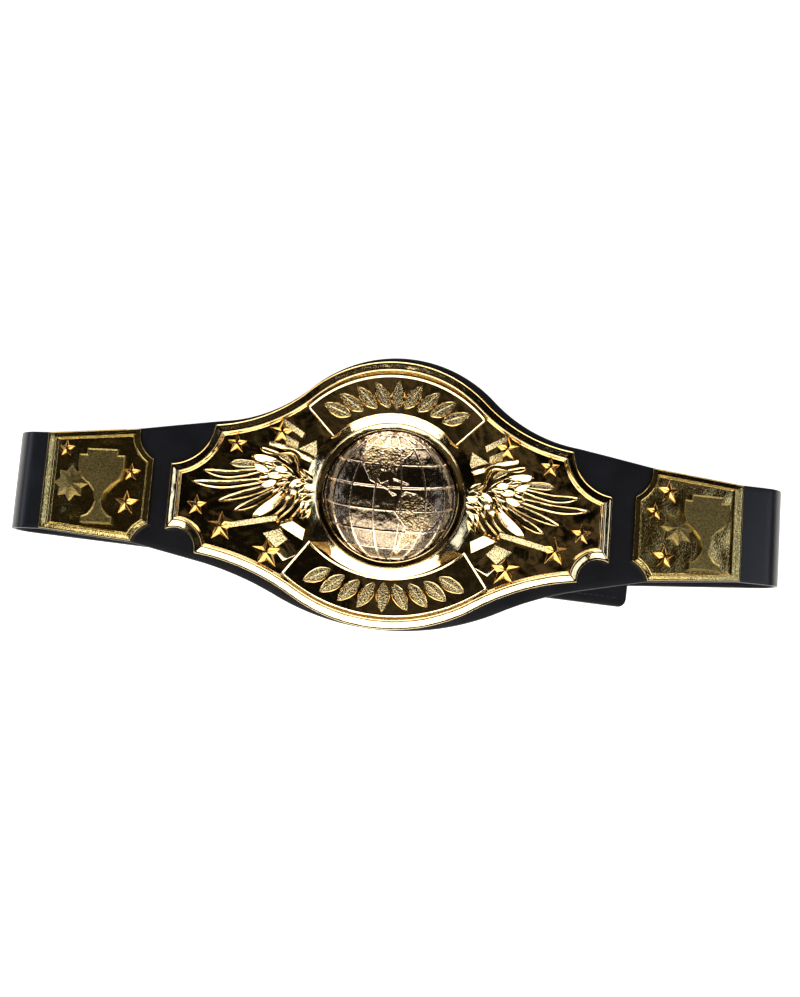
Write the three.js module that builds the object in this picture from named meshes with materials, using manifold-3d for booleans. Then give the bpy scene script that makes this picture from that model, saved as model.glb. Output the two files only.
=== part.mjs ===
// Championship title belt, of the kind sold with a costume: a leather-cloth strap closed in a
// loop, a gold moulded main plate with a globe on it, and a smaller plate at each side.
// Millimetres, +Z up. The belt lies on its back, as on a table, with the plates facing up.
// +X runs along the belt, +Y is up when it is worn, and the origin is on the table under the globe.
//
// Every piece is first made flat, in u along the belt, v across it and w out of the strap's
// outer face. Then it is cut at stations along u and bent round the loop.

import * as THREE from "three";
import { mergeVertices } from "three/addons/utils/BufferGeometryUtils.js";
import Module from "manifold-3d";

const wasm = await Module();
wasm.setup();

const degrees = Math.PI / 180;

// The clearance that a piece keeps to the piece it is fixed to.
const seat = 0.3;

// The loop, seen from the side
const loopHeight = 61; // outer face at the middle of the front, over the table
const frontMargin = 3; // the stretch behind the main plate reaches this far past its tab
const frontTurn = 10 * degrees; // of half of that stretch
const leftFoldMargin = 10.5; // from the left side plate to the left fold
const rightFoldMargin = 19;
const sideTurn = 4 * degrees;
const outerEndReach = 20; // how far the outer end passes the middle, to the left
const innerEndReach = 154.5; // how far the inner end passes the middle, to the right
const rampRun = 26; // the inner end climbs onto the outer end over this length
const rampClearance = 8; // from the top of that climb to the outer end
const leftSlope = 2.9 * degrees; // how far each end sags across the belt behind
const rightSlope = 3.4 * degrees;
const slopeEasing = 40; // length over which the sag sets in

// The strap
const strapThickness = 2.2;
const strapEndHeight = 60.5; // across the strap at the folds and behind
const strapEndTop = 28; // its top edge there
const endCornerRadius = 5;
const topMargin = 3; // leather that shows over the main plate
const bottomMargin = 0.4; // and under the middle of it
const bottomCrownRadius = 150; // of the leather's lower edge
const bottomCrownAngle = 26.5 * degrees;
const cornerMargin = 4.8; // leather under the plate's lower corners
const sideMargin = 0.8; // leather beyond the side plates
const leatherShift = 3; // the shaped stretch of leather lies this far right of the main plate

// The hook and loop patches that close it
const patchLength = 120;
const patchThickness = 1.2;
const patchMargin = 4;

// The main plate's outline
const crownRadius = 78;
const crownCentre = 4;
const crownAngle = 43 * degrees;
const chinRadius = 103;
const chinCentre = 24;
const chinAngle = 32 * degrees;
const topCorner = [108.5, 36.5];
const bottomCorner = [114.9, -42];
const topNotchRadius = 27.3;
const bottomNotchRadius = 13.2;
const tabReach = 134;
const tabTop = 11.5;
const tabBottom = -28.8;

// Its body and rim
const plateThickness = 1.7; // at the sunk field
const rimWidth = 7;
const rimRise = 2.4;

// The ring and the globe in the middle
const globeRadius = 39;
const globeRise = 18; // from its widest circle to its front
const globeDepth = 1.2; // the part of it below that circle
const ringWidth = 9.4;
const ringRise = 5.8;
const graticuleRise = 0.6; // of its lines over the middle of the cells between them
const landRise = 0.9;
const viewLatitude = 11 * degrees;
const viewLongitude = -85 * degrees;
const parallelStep = 20 * degrees;
const meridianStep = 22.5 * degrees;
const firstMeridian = 9 * degrees; // from the middle of the view
const firstParallel = 15 * degrees;

// The banners over and under the globe
const bannerRise = 2.4;
const bannerLip = 0.9;
const bannerLipRise = 0.8;
const bannerGap = 1.7; // from the rim to the upper banner
const bannerAngle = 47 * degrees; // half of the upper banner's outer arc
const bannerInnerAngle = 48.4 * degrees;
const lowerBannerInner = 65; // radius of its upper edge
const lowerBannerOuter = 98; // radius of its lower edge
const lowerBannerHalfWidth = 61; // at its lower edge
const lowerBannerTopHalfWidth = 45.8;
const leafLength = 17.5;
const leafRise = 1.8;

// The wings
const wingGap = 7.5; // from the wing's tip to the rim
const wingHeight = 32;
const shoulderBevel = 1.6;
const featherWidth = 6.6;
const featherRise = 2.6;
const neckWidth = 2.5;

// The stars
const starRadius = 10;
const starEdge = 0.8; // height of its edge
const starRise = 3.5; // height of its point
const starWaist = 0.45; // inner radius over outer

// The edges of feathers, leaves and the neck, as a share of their ridge's height
const strokeEdge = 0.35;

// The side plates
const leftGap = 11.5; // from the main plate's tab
const rightGap = 15;
const sideLength = 70.5;
const sideInnerTop = 31.8;
const sideInnerBottom = -37;
const sideOuterTop = 27.2;
const sideOuterBottom = -32;
const sideNotchLength = 10;
const sideTopNotch = 18.5;
const sideBottomNotch = 11;
const sideNotchRadius = 18;
const sideRimWidth = 4.6;
const sideRimRise = 2.1;
const outerRimScale = 1.7; // the rim is wider on the edge towards the fold
const sideStarRadius = 7;
const sideStarRise = 2.4;
const cupWidth = 30;
const cupHeight = 46;
const cupRise = 2.4;
const cupBevel = 1;
const rosetteRadius = 11;
const rosetteRise = 2;
const rosettePetals = 8;
const rosetteWaist = 0.7; // inner radius over outer

// How round stretches are divided
const frontStations = 4; // per half of the front
const sideStations = 3;
const bendSteps = 10;
const rampSteps = 4;
const cornerSteps = 4;
const sink = 0.6; // how deep raised work starts inside what carries it
const ballSides = 24;

const field = seat + plateThickness;
const ringRadius = globeRadius + seat + ringWidth;
const frontLength = tabReach + frontMargin;
const leftSideLength = leftGap + sideLength + leftFoldMargin - frontMargin;
const rightSideLength = rightGap + sideLength + rightFoldMargin - frontMargin;

// The plane vectors that outlines need
const plus = (p, q, scale = 1) => [p[0] + scale * q[0], p[1] + scale * q[1]];
const minus = (p, q) => [p[0] - q[0], p[1] - q[1]];
const dot = (p, q) => p[0] * q[0] + p[1] * q[1];
const unit = (p) => [p[0] / Math.hypot(...p), p[1] / Math.hypot(...p)];
const mirrored = ([x, y]) => [-x, y];

// The loop's side view, as arcs from the middle of the front down to one end. The bend's radius
// follows from the height that is left to it, so that the strap comes to lie on the table.
function routeOf(sideLength, rampStart, endX) {
  const heading = frontTurn + sideTurn;
  const front = [
    { length: frontLength, turn: frontTurn },
    { length: sideLength, turn: sideTurn },
  ];
  const fold = placeOn(front, frontLength + sideLength);
  const radius = fold.z / (1 + Math.cos(heading));
  const bend = { length: radius * (Math.PI - heading), turn: Math.PI - heading };
  const arcs = [...front, bend];
  const landing = frontLength + sideLength + bend.length;
  const landingX = placeOn(arcs, landing).x;
  if (rampStart !== undefined) {
    const climb = 2 * Math.atan2(stackRise, rampRun);
    const rampArc = (rampRun / 2 / Math.sin(climb)) * climb;
    arcs.push({ length: landingX - rampStart, turn: 0 });
    arcs.push({ length: rampArc, turn: climb });
    arcs.push({ length: rampArc, turn: -climb });
  }
  const behind = arcs.slice(3).reduce((sum, arc) => sum + arc.length, 0);
  const laidX = placeOn(arcs, landing + behind).x;
  arcs.push({ length: laidX - endX, turn: 0 });
  return { arcs, end: arcs.reduce((sum, arc) => sum + arc.length, 0) };
}

// Where a route is at a length along it: its point, and its heading from +X down towards the table.
function placeOn(arcs, along) {
  const place = { x: 0, z: loopHeight, heading: 0 };
  let left = along;
  for (const [index, arc] of arcs.entries()) {
    const length = index + 1 < arcs.length ? Math.min(left, arc.length) : left;
    const turn = (arc.turn * length) / arc.length;
    const next = place.heading + turn;
    if (turn === 0) {
      place.x += length * Math.cos(next);
      place.z -= length * Math.sin(next);
    } else {
      place.x += (length / turn) * (Math.sin(next) - Math.sin(place.heading));
      place.z += (length / turn) * (Math.cos(next) - Math.cos(place.heading));
    }
    place.heading = next;
    left -= length;
  }
  return place;
}

// The inner end lies over the outer end and the two patches between them.
const stackRise = strapThickness + 2 * patchThickness + 3 * seat;
const rampStart = outerEndReach + rampClearance + rampRun;
const left = {
  ...routeOf(leftSideLength, rampStart, -innerEndReach),
  slope: leftSlope,
  gap: leftGap,
  sign: -1,
};
const right = {
  ...routeOf(rightSideLength, undefined, -outerEndReach),
  slope: rightSlope,
  gap: rightGap,
  sign: 1,
};

// How far a side has sagged at a length along it, and how steep it is there. The sag sets in on the fold.
function sagOf(side, along) {
  const start = side.arcs[0].length + side.arcs[1].length + side.arcs[2].length / 3;
  const past = Math.max(0, along - start);
  const eased = Math.min(past, slopeEasing);
  const drop = (eased * eased) / (2 * slopeEasing) + past - eased;
  return { drop: drop * Math.tan(side.slope), lean: (eased / slopeEasing) * Math.sin(side.slope) };
}

// Bends a point of the flat belt round the loop.
function bent([u, v, w]) {
  const side = u < 0 ? left : right;
  const along = Math.abs(u);
  const sag = sagOf(side, along);
  const place = placeOn(side.arcs, along + v * sag.lean);
  const x = place.x + w * Math.sin(place.heading);
  return [u < 0 ? -x : x, v - sag.drop, place.z + w * Math.cos(place.heading)];
}

// A solid from points and triangles, and back.
function solidOf(points, faces) {
  const mesh = new wasm.Mesh({
    numProp: 3,
    vertProperties: new Float32Array(points.flat()),
    triVerts: new Uint32Array(faces.flat()),
  });
  return new wasm.Manifold(mesh);
}

function meshOf(solid) {
  const { vertProperties, triVerts, numProp } = solid.getMesh();
  const points = [];
  for (let i = 0; i < vertProperties.length; i += numProp)
    points.push([...vertProperties.slice(i, i + 3)]);
  const faces = [];
  for (let i = 0; i < triVerts.length; i += 3) faces.push([...triVerts.slice(i, i + 3)]);
  return { points, faces };
}

// A solid from one of the closed geometry classes.
function solidFromGeometry(geometry) {
  geometry.deleteAttribute("normal");
  geometry.deleteAttribute("uv");
  const merged = mergeVertices(geometry, 1e-4);
  const { array } = merged.getAttribute("position");
  const mesh = new wasm.Mesh({
    numProp: 3,
    vertProperties: array,
    triVerts: new Uint32Array(merged.index.array),
  });
  return new wasm.Manifold(mesh);
}

const joined = (solids) => wasm.Manifold.union(solids);

// Splits triangles along planes of constant u. Points this close to a plane count as on it.
const onPlane = 2e-3;

function cutAtStations({ points, faces }, stations) {
  for (const station of stations) {
    const sideOf = points.map(([u]) => (Math.abs(u - station) < onPlane ? 0 : Math.sign(u - station)));
    const cuts = new Map();
    const cutBetween = (p, q) => {
      const [low, high] = p < q ? [p, q] : [q, p];
      const key = `${low}-${high}`;
      if (!cuts.has(key)) {
        const a = points[low];
        const b = points[high];
        const share = (station - a[0]) / (b[0] - a[0]);
        cuts.set(key, points.length);
        points.push(a.map((value, axis) => value + share * (b[axis] - value)));
        sideOf.push(0);
      }
      return cuts.get(key);
    };
    faces = faces.flatMap((face) => {
      const sides = face.map((corner) => sideOf[corner]);
      if (!(Math.min(...sides) < 0 && Math.max(...sides) > 0)) return [face];
      const below = [];
      const above = [];
      face.forEach((corner, i) => {
        const next = face[(i + 1) % 3];
        if (sides[i] <= 0) below.push(corner);
        if (sides[i] >= 0) above.push(corner);
        if (sideOf[corner] * sideOf[next] < 0) {
          const cut = cutBetween(corner, next);
          below.push(cut);
          above.push(cut);
        }
      });
      return [...fanOf(below), ...fanOf(above)];
    });
  }
  return { points, faces };
}

const fanOf = (corners) => corners.slice(2).map((last, i) => [corners[0], corners[i + 1], last]);

// The stations at which the front bends, on both sides of the middle.
function frontStationsOf() {
  const stations = [0];
  for (const [sign, length] of [[-1, leftSideLength], [1, rightSideLength]]) {
    for (let i = 1; i <= frontStations; i++) stations.push((sign * frontLength * i) / frontStations);
    for (let i = 1; i <= sideStations; i++) stations.push(sign * (frontLength + (length * i) / sideStations));
  }
  return stations;
}

// A solid through rings with as many points each, lowest first, anticlockwise from the front.
// It is closed flat at the bottom, and flat or in a peak at the top.
function stacked(rings, peak) {
  const count = rings[0].length;
  const points = rings.flat();
  const faces = [];
  for (let row = 0; row + 1 < rings.length; row++)
    for (let i = 0; i < count; i++) {
      const a = row * count + i;
      const b = row * count + ((i + 1) % count);
      faces.push([a, b, b + count], [a, b + count, a + count]);
    }
  const flat = (ring) =>
    THREE.ShapeUtils.triangulateShape(ring.map(([x, y]) => new THREE.Vector2(x, y)), []);
  faces.push(...flat(rings[0]).map(([a, b, c]) => [a, c, b]));
  const top = (rings.length - 1) * count;
  if (peak) {
    points.push(peak);
    for (let i = 0; i < count; i++) faces.push([top + i, top + ((i + 1) % count), points.length - 1]);
  } else {
    faces.push(...flat(rings.at(-1)).map((face) => face.map((corner) => top + corner)));
  }
  return solidOf(points, faces);
}

const raised = (outline, height) => outline.map(([x, y]) => [x, y, height]);

// A solid through sections with as many points each, anticlockwise seen from the last one.
function lofted(sections) {
  const count = sections[0].length;
  const faces = [];
  for (let row = 0; row + 1 < sections.length; row++)
    for (let i = 0; i < count; i++) {
      const a = row * count + i;
      const b = row * count + ((i + 1) % count);
      faces.push([a, b, b + count], [a, b + count, a + count]);
    }
  const first = [...Array(count).keys()];
  const last = first.map((i) => (sections.length - 1) * count + i);
  faces.push(...fanOf([...first].reverse()), ...fanOf(last));
  return solidOf(sections.flat(), faces);
}

// An outline moved inwards, each point along the bisector of its corner.
function shrunk(outline, inset) {
  return outline.map((point, i) => {
    const before = unit(minus(point, outline.at(i - 1)));
    const after = unit(minus(outline[(i + 1) % outline.length], point));
    const inwards = unit([-before[1] - after[1], before[0] + after[0]]);
    const opening = Math.max(0.4, dot(inwards, [-before[1], before[0]]));
    return plus(point, inwards, inset / opening);
  });
}

// Edges of a plate, walked anticlockwise. An arc is hollow where its centre is outside the plate.
const arc = (centre, radius, hollow, steps) => ({ centre, radius, hollow, steps });
const straight = (from, to, scale = 1) => ({ from, to, scale, steps: 1 });

// The centre of the circle with this radius through two points, on the right of the way between them.
function centreThrough(from, to, radius) {
  const way = minus(to, from);
  const rise = Math.sqrt(Math.max(0, radius ** 2 - dot(way, way) / 4));
  const across = unit([way[1], -way[0]]);
  return plus(plus(from, way, 0.5), across, rise);
}

// Where two edges meet, both moved inwards, on the side where their corner is.
function meet(first, second, inset, near) {
  const moved = (edge) => {
    if (edge.centre) return { centre: edge.centre, radius: edge.radius + (edge.hollow ? inset : -inset) };
    const way = unit(minus(edge.to, edge.from));
    return { from: plus(edge.from, [-way[1], way[0]], inset * edge.scale), way };
  };
  const [a, b] = [moved(first), moved(second)];
  if (a.way && b.way) {
    const across = [-b.way[1], b.way[0]];
    return plus(a.from, a.way, dot(minus(b.from, a.from), across) / dot(a.way, across));
  }
  let middle;
  let way;
  let reach;
  if (a.centre && b.centre) {
    const gap = Math.hypot(...minus(b.centre, a.centre));
    const along = (a.radius ** 2 - b.radius ** 2 + gap ** 2) / (2 * gap);
    const towards = unit(minus(b.centre, a.centre));
    middle = plus(a.centre, towards, along);
    way = [-towards[1], towards[0]];
    reach = Math.sqrt(Math.max(0, a.radius ** 2 - along ** 2));
  } else {
    const [line, circle] = a.way ? [a, b] : [b, a];
    const along = dot(minus(circle.centre, line.from), line.way);
    middle = plus(line.from, line.way, along);
    way = line.way;
    const away = Math.hypot(...minus(circle.centre, middle));
    reach = Math.sqrt(Math.max(0, circle.radius ** 2 - away ** 2));
  }
  const both = [plus(middle, way, reach), plus(middle, way, -reach)];
  const away = both.map((point) => Math.hypot(...minus(point, near)));
  return away[0] < away[1] ? both[0] : both[1];
}

// The outline of a plate moved inwards. Each edge starts at the corner with its own number.
function outlineAt({ edges, corners }, inset) {
  const moved = edges.map((edge, i) => meet(edges.at(i - 1), edge, inset, corners[i]));
  return edges.flatMap((edge, i) => {
    const start = moved[i];
    if (!edge.centre) return [start];
    const from = minus(start, edge.centre);
    const to = minus(moved[(i + 1) % moved.length], edge.centre);
    const sweep = Math.atan2(from[0] * to[1] - from[1] * to[0], dot(from, to));
    return [...Array(edge.steps).keys()].map((step) => {
      const turn = (sweep * step) / edge.steps;
      const spoke = [
        from[0] * Math.cos(turn) - from[1] * Math.sin(turn),
        from[0] * Math.sin(turn) + from[1] * Math.cos(turn),
      ];
      const stretch = 1 + ((Math.hypot(...to) / Math.hypot(...from) - 1) * step) / edge.steps;
      return plus(edge.centre, spoke, stretch);
    });
  });
}

// The arc that leaves a crown without a kink and ends in a corner. Up is 1 for a crown and -1 for a chin.
function flareFrom(crown, angle, corner) {
  const outward = [Math.sin(angle), crown.up * Math.cos(angle)];
  const start = plus([0, crown.centre], outward, crown.radius);
  const chord = minus(corner, start);
  const radius = dot(chord, chord) / (2 * dot(chord, outward));
  return { start, centre: plus(start, outward, radius), radius };
}

// The main plate's outline: crown and chin, a flare to each corner, and a notch to each side's tab.
const crown = { centre: crownCentre, radius: crownRadius, up: 1 };
const chin = { centre: chinCentre, radius: chinRadius, up: -1 };
const crownTop = crownCentre + crownRadius;
const chinBottom = chinCentre - chinRadius;
const topFlare = flareFrom(crown, crownAngle, topCorner);
const bottomFlare = flareFrom(chin, chinAngle, bottomCorner);

function mainOutline() {
  const tabHigh = [tabReach, tabTop];
  const tabLow = [tabReach, tabBottom];
  const rightCorners = [bottomFlare.start, bottomCorner, tabLow, tabHigh, topCorner, topFlare.start];
  const topNotch = centreThrough(tabHigh, topCorner, topNotchRadius);
  const bottomNotch = centreThrough(bottomCorner, tabLow, bottomNotchRadius);
  const rightEdges = [
    arc(bottomFlare.centre, bottomFlare.radius, true, 3),
    arc(bottomNotch, bottomNotchRadius, true, 4),
    straight(tabLow, tabHigh),
    arc(topNotch, topNotchRadius, true, 3),
    arc(topFlare.centre, topFlare.radius, true, 4),
  ];
  const mirroredEdge = (edge) => {
    if (edge.centre) return { ...edge, centre: mirrored(edge.centre) };
    return straight(mirrored(edge.to), mirrored(edge.from));
  };
  return {
    edges: [
      ...rightEdges,
      arc([0, crownCentre], crownRadius, false, 14),
      ...rightEdges.map(mirroredEdge).reverse(),
      arc([0, chinCentre], chinRadius, false, 10),
    ],
    corners: [...rightCorners, ...rightCorners.map(mirrored).reverse()],
  };
}

// The rim's section, from the plate's edge inwards
const rimSection = [
  { inset: 0, rise: 0.42 },
  { inset: 0.06, rise: 0.42 },
  { inset: 0.12, rise: 0.2 },
  { inset: 0.68, rise: 0.74 },
  { inset: 0.76, rise: 1 },
  { inset: 0.84, rise: 0.97 },
  { inset: 1, rise: 0 },
];

function plateWithRim(outline, width, rise) {
  const back = raised(outlineAt(outline, 0), seat);
  const rows = rimSection.map((row) =>
    raised(outlineAt(outline, row.inset * width), field + row.rise * rise));
  return stacked([back, ...rows]);
}

// A star with a ridge to each point and to each waist.
function star([x, y], radius, edge, rise, points = 5, waist = starWaist) {
  const outline = [...Array(2 * points).keys()].map((i) => {
    const angle = Math.PI / 2 + (i * Math.PI) / points;
    const reach = i % 2 ? radius * waist : radius;
    return [x + reach * Math.cos(angle), y + reach * Math.sin(angle)];
  });
  return stacked([raised(outline, field - sink), raised(outline, field + edge)], [x, y, field + rise]);
}

// A raised stroke along a spine of points, each with a width and the height of the ridge there.
function stroke(spine, base) {
  return lofted(
    spine.map(({ at, width, rise }, i) => {
      const way = minus(spine[Math.min(i + 1, spine.length - 1)].at, spine[Math.max(i - 1, 0)].at);
      const across = unit([-way[1], way[0]]);
      const edgeAt = (share) => plus(at, across, (share * width) / 2);
      const edgeHeight = base + strokeEdge * rise;
      return [
        [...edgeAt(1), field - sink],
        [...edgeAt(1), edgeHeight],
        [...at, base + rise],
        [...edgeAt(-1), edgeHeight],
        [...edgeAt(-1), field - sink],
      ];
    }),
  );
}

// A leaf or feather has a blunt root, is widest past its middle, and may bow to one side.
const featherSection = [
  { along: 0, width: 0.6, rise: 0.7 },
  { along: 0.5, width: 1, rise: 1 },
  { along: 0.85, width: 0.75, rise: 0.85 },
  { along: 1, width: 0.1, rise: 0.5 },
];

function feather(root, tip, width, rise, base, bow = 0) {
  const way = minus(tip, root);
  const across = unit([-way[1], way[0]]);
  const spine = featherSection.map((row) => ({
    at: plus(plus(root, way, row.along), across, bow * 4 * row.along * (1 - row.along)),
    width: row.width * width,
    rise: row.rise * rise,
  }));
  return stroke(spine, base);
}

// A flat slab through corners that are given anticlockwise, with its top at one height.
const slab = (corners, height) => stacked([raised(corners, field - sink), raised(corners, height)]);

// The ring round the globe: a channel that climbs gently to a crest, and a slope that ends a
// little past the banners' edges.
const ringSection = [
  { along: 0, rise: 0.75 },
  { along: 0.38, rise: 0.9 },
  { along: 0.46, rise: 1 },
  { along: 0.52, rise: 0.93 },
  { along: 1.24, rise: 0.3 },
];
const ringSides = 44;

function ring() {
  const inner = ringRadius - ringWidth;
  const section = ringSection.map(
    (row) => new THREE.Vector2(inner + row.along * ringWidth, field + row.rise * ringRise),
  );
  const foot = field - sink;
  section.unshift(new THREE.Vector2(inner, foot));
  section.push(new THREE.Vector2(section.at(-1).x, foot), section[0].clone());
  return solidFromGeometry(new THREE.LatheGeometry(section.reverse(), ringSides).rotateX(Math.PI / 2));
}

// A banner: a band between two arcs, which may have centres of their own, with a raised lip.
const bannerSteps = 10;

function banner(inner, outer, up) {
  const side = (edge, inset) =>
    [...Array(bannerSteps + 1).keys()].map((step) => {
      const angle = (edge.angle - inset / edge.radius) * (1 - (2 * step) / bannerSteps);
      const radius = edge.radius + (edge === outer ? -inset : inset);
      return [radius * Math.sin(angle), edge.centre + up * radius * Math.cos(angle)];
    });
  const outlineOf = (inset) => {
    const outline = [...side(outer, inset), ...side(inner, inset).reverse()];
    return up > 0 ? outline : outline.reverse();
  };
  const face = field + bannerRise;
  return stacked([
    raised(outlineOf(0), field - sink),
    raised(outlineOf(0), face + bannerLipRise),
    raised(outlineOf(bannerLip), face + bannerLipRise),
    raised(outlineOf(1.5 * bannerLip), face),
  ]);
}

// Leaves along a banner, in pairs that point away from its middle, with one upright leaf there.
const leafPairs = [
  { along: 0.185, tilt: 0.42 },
  { along: 0.375, tilt: 0.5 },
  { along: 0.565, tilt: 0.55 },
  { along: 0.755, tilt: 0.6 },
];
const leafWidth = 0.46; // of its length

function laurel(centre, radius, halfAngle, up) {
  const base = field + bannerRise - sink;
  const leaf = (angle, tilt) => {
    const middle = [radius * Math.sin(angle), centre + up * radius * Math.cos(angle)];
    const way = [Math.sin(angle + tilt), up * Math.cos(angle + tilt)];
    const root = plus(middle, way, -leafLength / 2);
    const tip = plus(middle, way, leafLength / 2);
    return feather(root, tip, leafWidth * leafLength, leafRise + sink, base);
  };
  return [
    leaf(0, 0),
    ...leafPairs.flatMap(({ along, tilt }) => [
      leaf(along * halfAngle, tilt),
      leaf(-along * halfAngle, -tilt),
    ]),
  ];
}

// The right wing. Along is a share of its length from the ring, up a share of its height.
const feathers = [
  { root: [0.43, 0.32], tip: [0.915, 0.26], width: 0.76, bow: -0.4 },
  { root: [0.39, 0.14], tip: [1, 0.04], width: 0.76, bow: -0.36 },
  { root: [0.315, 0.05], tip: [0.765, -0.3], width: 0.7, bow: 0 },
  { root: [0.27, -0.03], tip: [0.62, -0.46], width: 0.7, bow: -0.18 },
  { root: [0.21, -0.09], tip: [0.455, -0.57], width: 0.82, bow: 0 },
  { root: [0.44, 0.42], tip: [0.69, 0.42], width: 0.79, bow: 0 },
  { root: [0.27, 0.48], tip: [0.505, 0.56], width: 0.7, bow: 0 },
  { root: [0.285, 0.65], tip: [0.44, 0.74], width: 0.52, bow: 0 },
  { root: [0.165, 0.49], tip: [0.28, 0.64], width: 0.58, bow: 0 },
  { root: [0.2, -0.09], tip: [0.285, -0.38], width: 0.23, bow: 0 },
  { root: [0.155, -0.12], tip: [0.315, -0.57], width: 0.23, bow: -0.3 },
  { root: [0.1, -0.14], tip: [0.245, -0.59], width: 0.23, bow: -0.3 },
  { root: [0.025, -0.15], tip: [0.14, -0.56], width: 0.23, bow: -0.15 },
  { root: [-0.03, -0.16], tip: [0.04, -0.47], width: 0.23, bow: 0 },
];
const shoulder = [
  [-0.01, -0.175], [0.107, -0.106], [0.195, -0.075], [0.27, -0.056], [0.376, 0.103], [0.43, 0.216],
  [0.456, 0.356], [0.387, 0.49], [0.275, 0.51], [0.165, 0.375], [0.103, 0.22], [0.018, 0.125], [-0.047, 0],
];
const neck = [
  { place: [0.28, 0.65], width: 0.6 },
  { place: [0.17, 0.66], width: 1 },
  { place: [0.12, 0.52], width: 1 },
  { place: [0.09, 0.35], width: 1 },
  { place: [0.04, 0.27], width: 1 },
  { place: [0, 0.29], width: 0.8 },
  { place: [-0.044, 0.39], width: 0.5 },
];

// The banners' ribbon: the staves over and under the wing, and the faces of its folds. Corners are
// shares of the tab's reach and the crown's height, rise a share of the banners' rise.
const ribbons = [
  { corners: [[0.325, 0.216], [0.331, 0.184], [0.554, 0.313], [0.56, 0.345]], rise: 1.08 },
  { corners: [[0.4925, -0.199], [0.49, -0.235], [0.722, -0.316], [0.726, -0.279]], rise: 1.08 },
  { corners: [[0.414, 0.383], [0.505, 0.478], [0.496, 0.512], [0.403, 0.42]], rise: 0.75 },
  { corners: [[0.43, 0.293], [0.485, 0.327], [0.485, 0.393], [0.425, 0.346]], rise: 0.83 },
  { corners: [[0.336, 0.239], [0.381, 0.276], [0.427, 0.3], [0.346, 0.366]], rise: 0.78 },
  { corners: [[0.385, -0.467], [0.451, -0.524], [0.557, -0.337], [0.478, -0.29]], rise: 0.5 },
  { corners: [[0.439, -0.366], [0.488, -0.434], [0.549, -0.337], [0.478, -0.298]], rise: 1 },
  { corners: [[0.366, -0.285], [0.375, -0.366], [0.482, -0.272], [0.419, -0.237]], rise: 1.04 },
];

// The main plate's stars, in the same shares, with their size as a share of the star's radius.
const stars = [
  { place: [0.705, 0.313], size: 0.62 },
  { place: [0.504, 0.417], size: 0.81 },
  { place: [0.866, -0.16], size: 0.65 },
  { place: [0.744, -0.306], size: 0.91 },
  { place: [0.527, -0.472], size: 1 },
];

function rightHalfRelief() {
  const wingSpan = tabReach - rimWidth - wingGap - ringRadius;
  const inWing = ([along, up]) => [ringRadius + along * wingSpan, up * wingHeight];
  const inPlate = ([along, up]) => [along * tabReach, up * crownTop];
  const shoulderOutline = shoulder.map(inWing);
  const neckSpine = neck.map(({ place, width }) => ({
    at: inWing(place),
    width: width * neckWidth,
    rise: featherRise,
  }));
  return [
    stacked([
      raised(shoulderOutline, field - sink),
      raised(shoulderOutline, field + featherRise / 2),
      raised(shrunk(shoulderOutline, shoulderBevel), field + featherRise),
    ]),
    ...feathers.map(({ root, tip, width, bow }) =>
      feather(inWing(root), inWing(tip), width * featherWidth, featherRise, field, bow * featherWidth)),
    stroke(neckSpine, field),
    ...ribbons.map((row) => slab(row.corners.map(inPlate), field + row.rise * bannerRise)),
    ...stars.map((row) =>
      star(inPlate(row.place), row.size * starRadius, starEdge, row.size * starRise)),
  ];
}

function mainPlate() {
  const upperInner = { centre: 0, radius: ringRadius, angle: bannerInnerAngle };
  const upperOuter = { centre: 0, radius: crownTop - rimWidth - bannerGap, angle: bannerAngle };
  const lowerTop = -ringRadius;
  const lowerBottom = chinBottom + rimWidth;
  const lowerInner = {
    centre: lowerTop + lowerBannerInner,
    radius: lowerBannerInner,
    angle: Math.asin(lowerBannerTopHalfWidth / lowerBannerInner),
  };
  const lowerOuter = {
    centre: lowerBottom + lowerBannerOuter,
    radius: lowerBannerOuter,
    angle: Math.asin(lowerBannerHalfWidth / lowerBannerOuter),
  };
  const lowerCentre = (lowerInner.centre + lowerOuter.centre) / 2;
  const lowerRadius = lowerCentre - (lowerTop + lowerBottom) / 2;
  const half = joined(rightHalfRelief());
  return joined([
    plateWithRim(mainOutline(), rimWidth, rimRise),
    ring(),
    banner(upperInner, upperOuter, 1),
    ...laurel(0, (upperInner.radius + upperOuter.radius) / 2, bannerAngle, 1),
    banner(lowerInner, lowerOuter, -1),
    ...laurel(lowerCentre, lowerRadius, lowerOuter.angle, -1),
    half,
    half.mirror([1, 0, 0]),
  ]).subtract(globeSeat());
}

// The globe's place in the ring, cut a little larger than the globe.
function globeSeat() {
  const seatRadius = globeRadius + seat;
  const depth = globeRise;
  const bore = new THREE.CylinderGeometry(seatRadius, seatRadius, depth, ringSides);
  return solidFromGeometry(bore.rotateX(Math.PI / 2).translate(0, 0, field + depth / 2));
}

// The coasts of the lands on the side that faces up, in degrees of latitude and longitude.
const coasts = [
  [
    [9, -80], [8, -83], [13, -88], [16, -95], [20, -105], [31, -114], [40, -124], [48, -125],
    [58, -137], [60, -150], [66, -162], [71, -156], [70, -130], [69, -110], [73, -95], [63, -92],
    [56, -88], [52, -80], [60, -77], [61, -65], [52, -56], [46, -64], [41, -72], [35, -76],
    [30, -81], [25, -80.5], [30, -86], [29, -94], [22, -98], [18, -94], [21, -88], [16, -88], [11, -84],
  ],
  [
    [8, -77], [12, -72], [10, -62], [4, -51], [-3, -42], [-8, -35], [-18, -39], [-24, -46],
    [-34, -54], [-39, -62], [-47, -66], [-55, -69], [-50, -75], [-37, -73], [-18, -71], [-6, -81], [1, -79],
  ],
  [[23, -84], [21, -75], [18.5, -68.5], [18, -72], [20, -77], [21.5, -84]],
  [[60, -44], [70, -24], [80, -20], [82, -45], [77, -68], [70, -53]],
];

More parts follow.
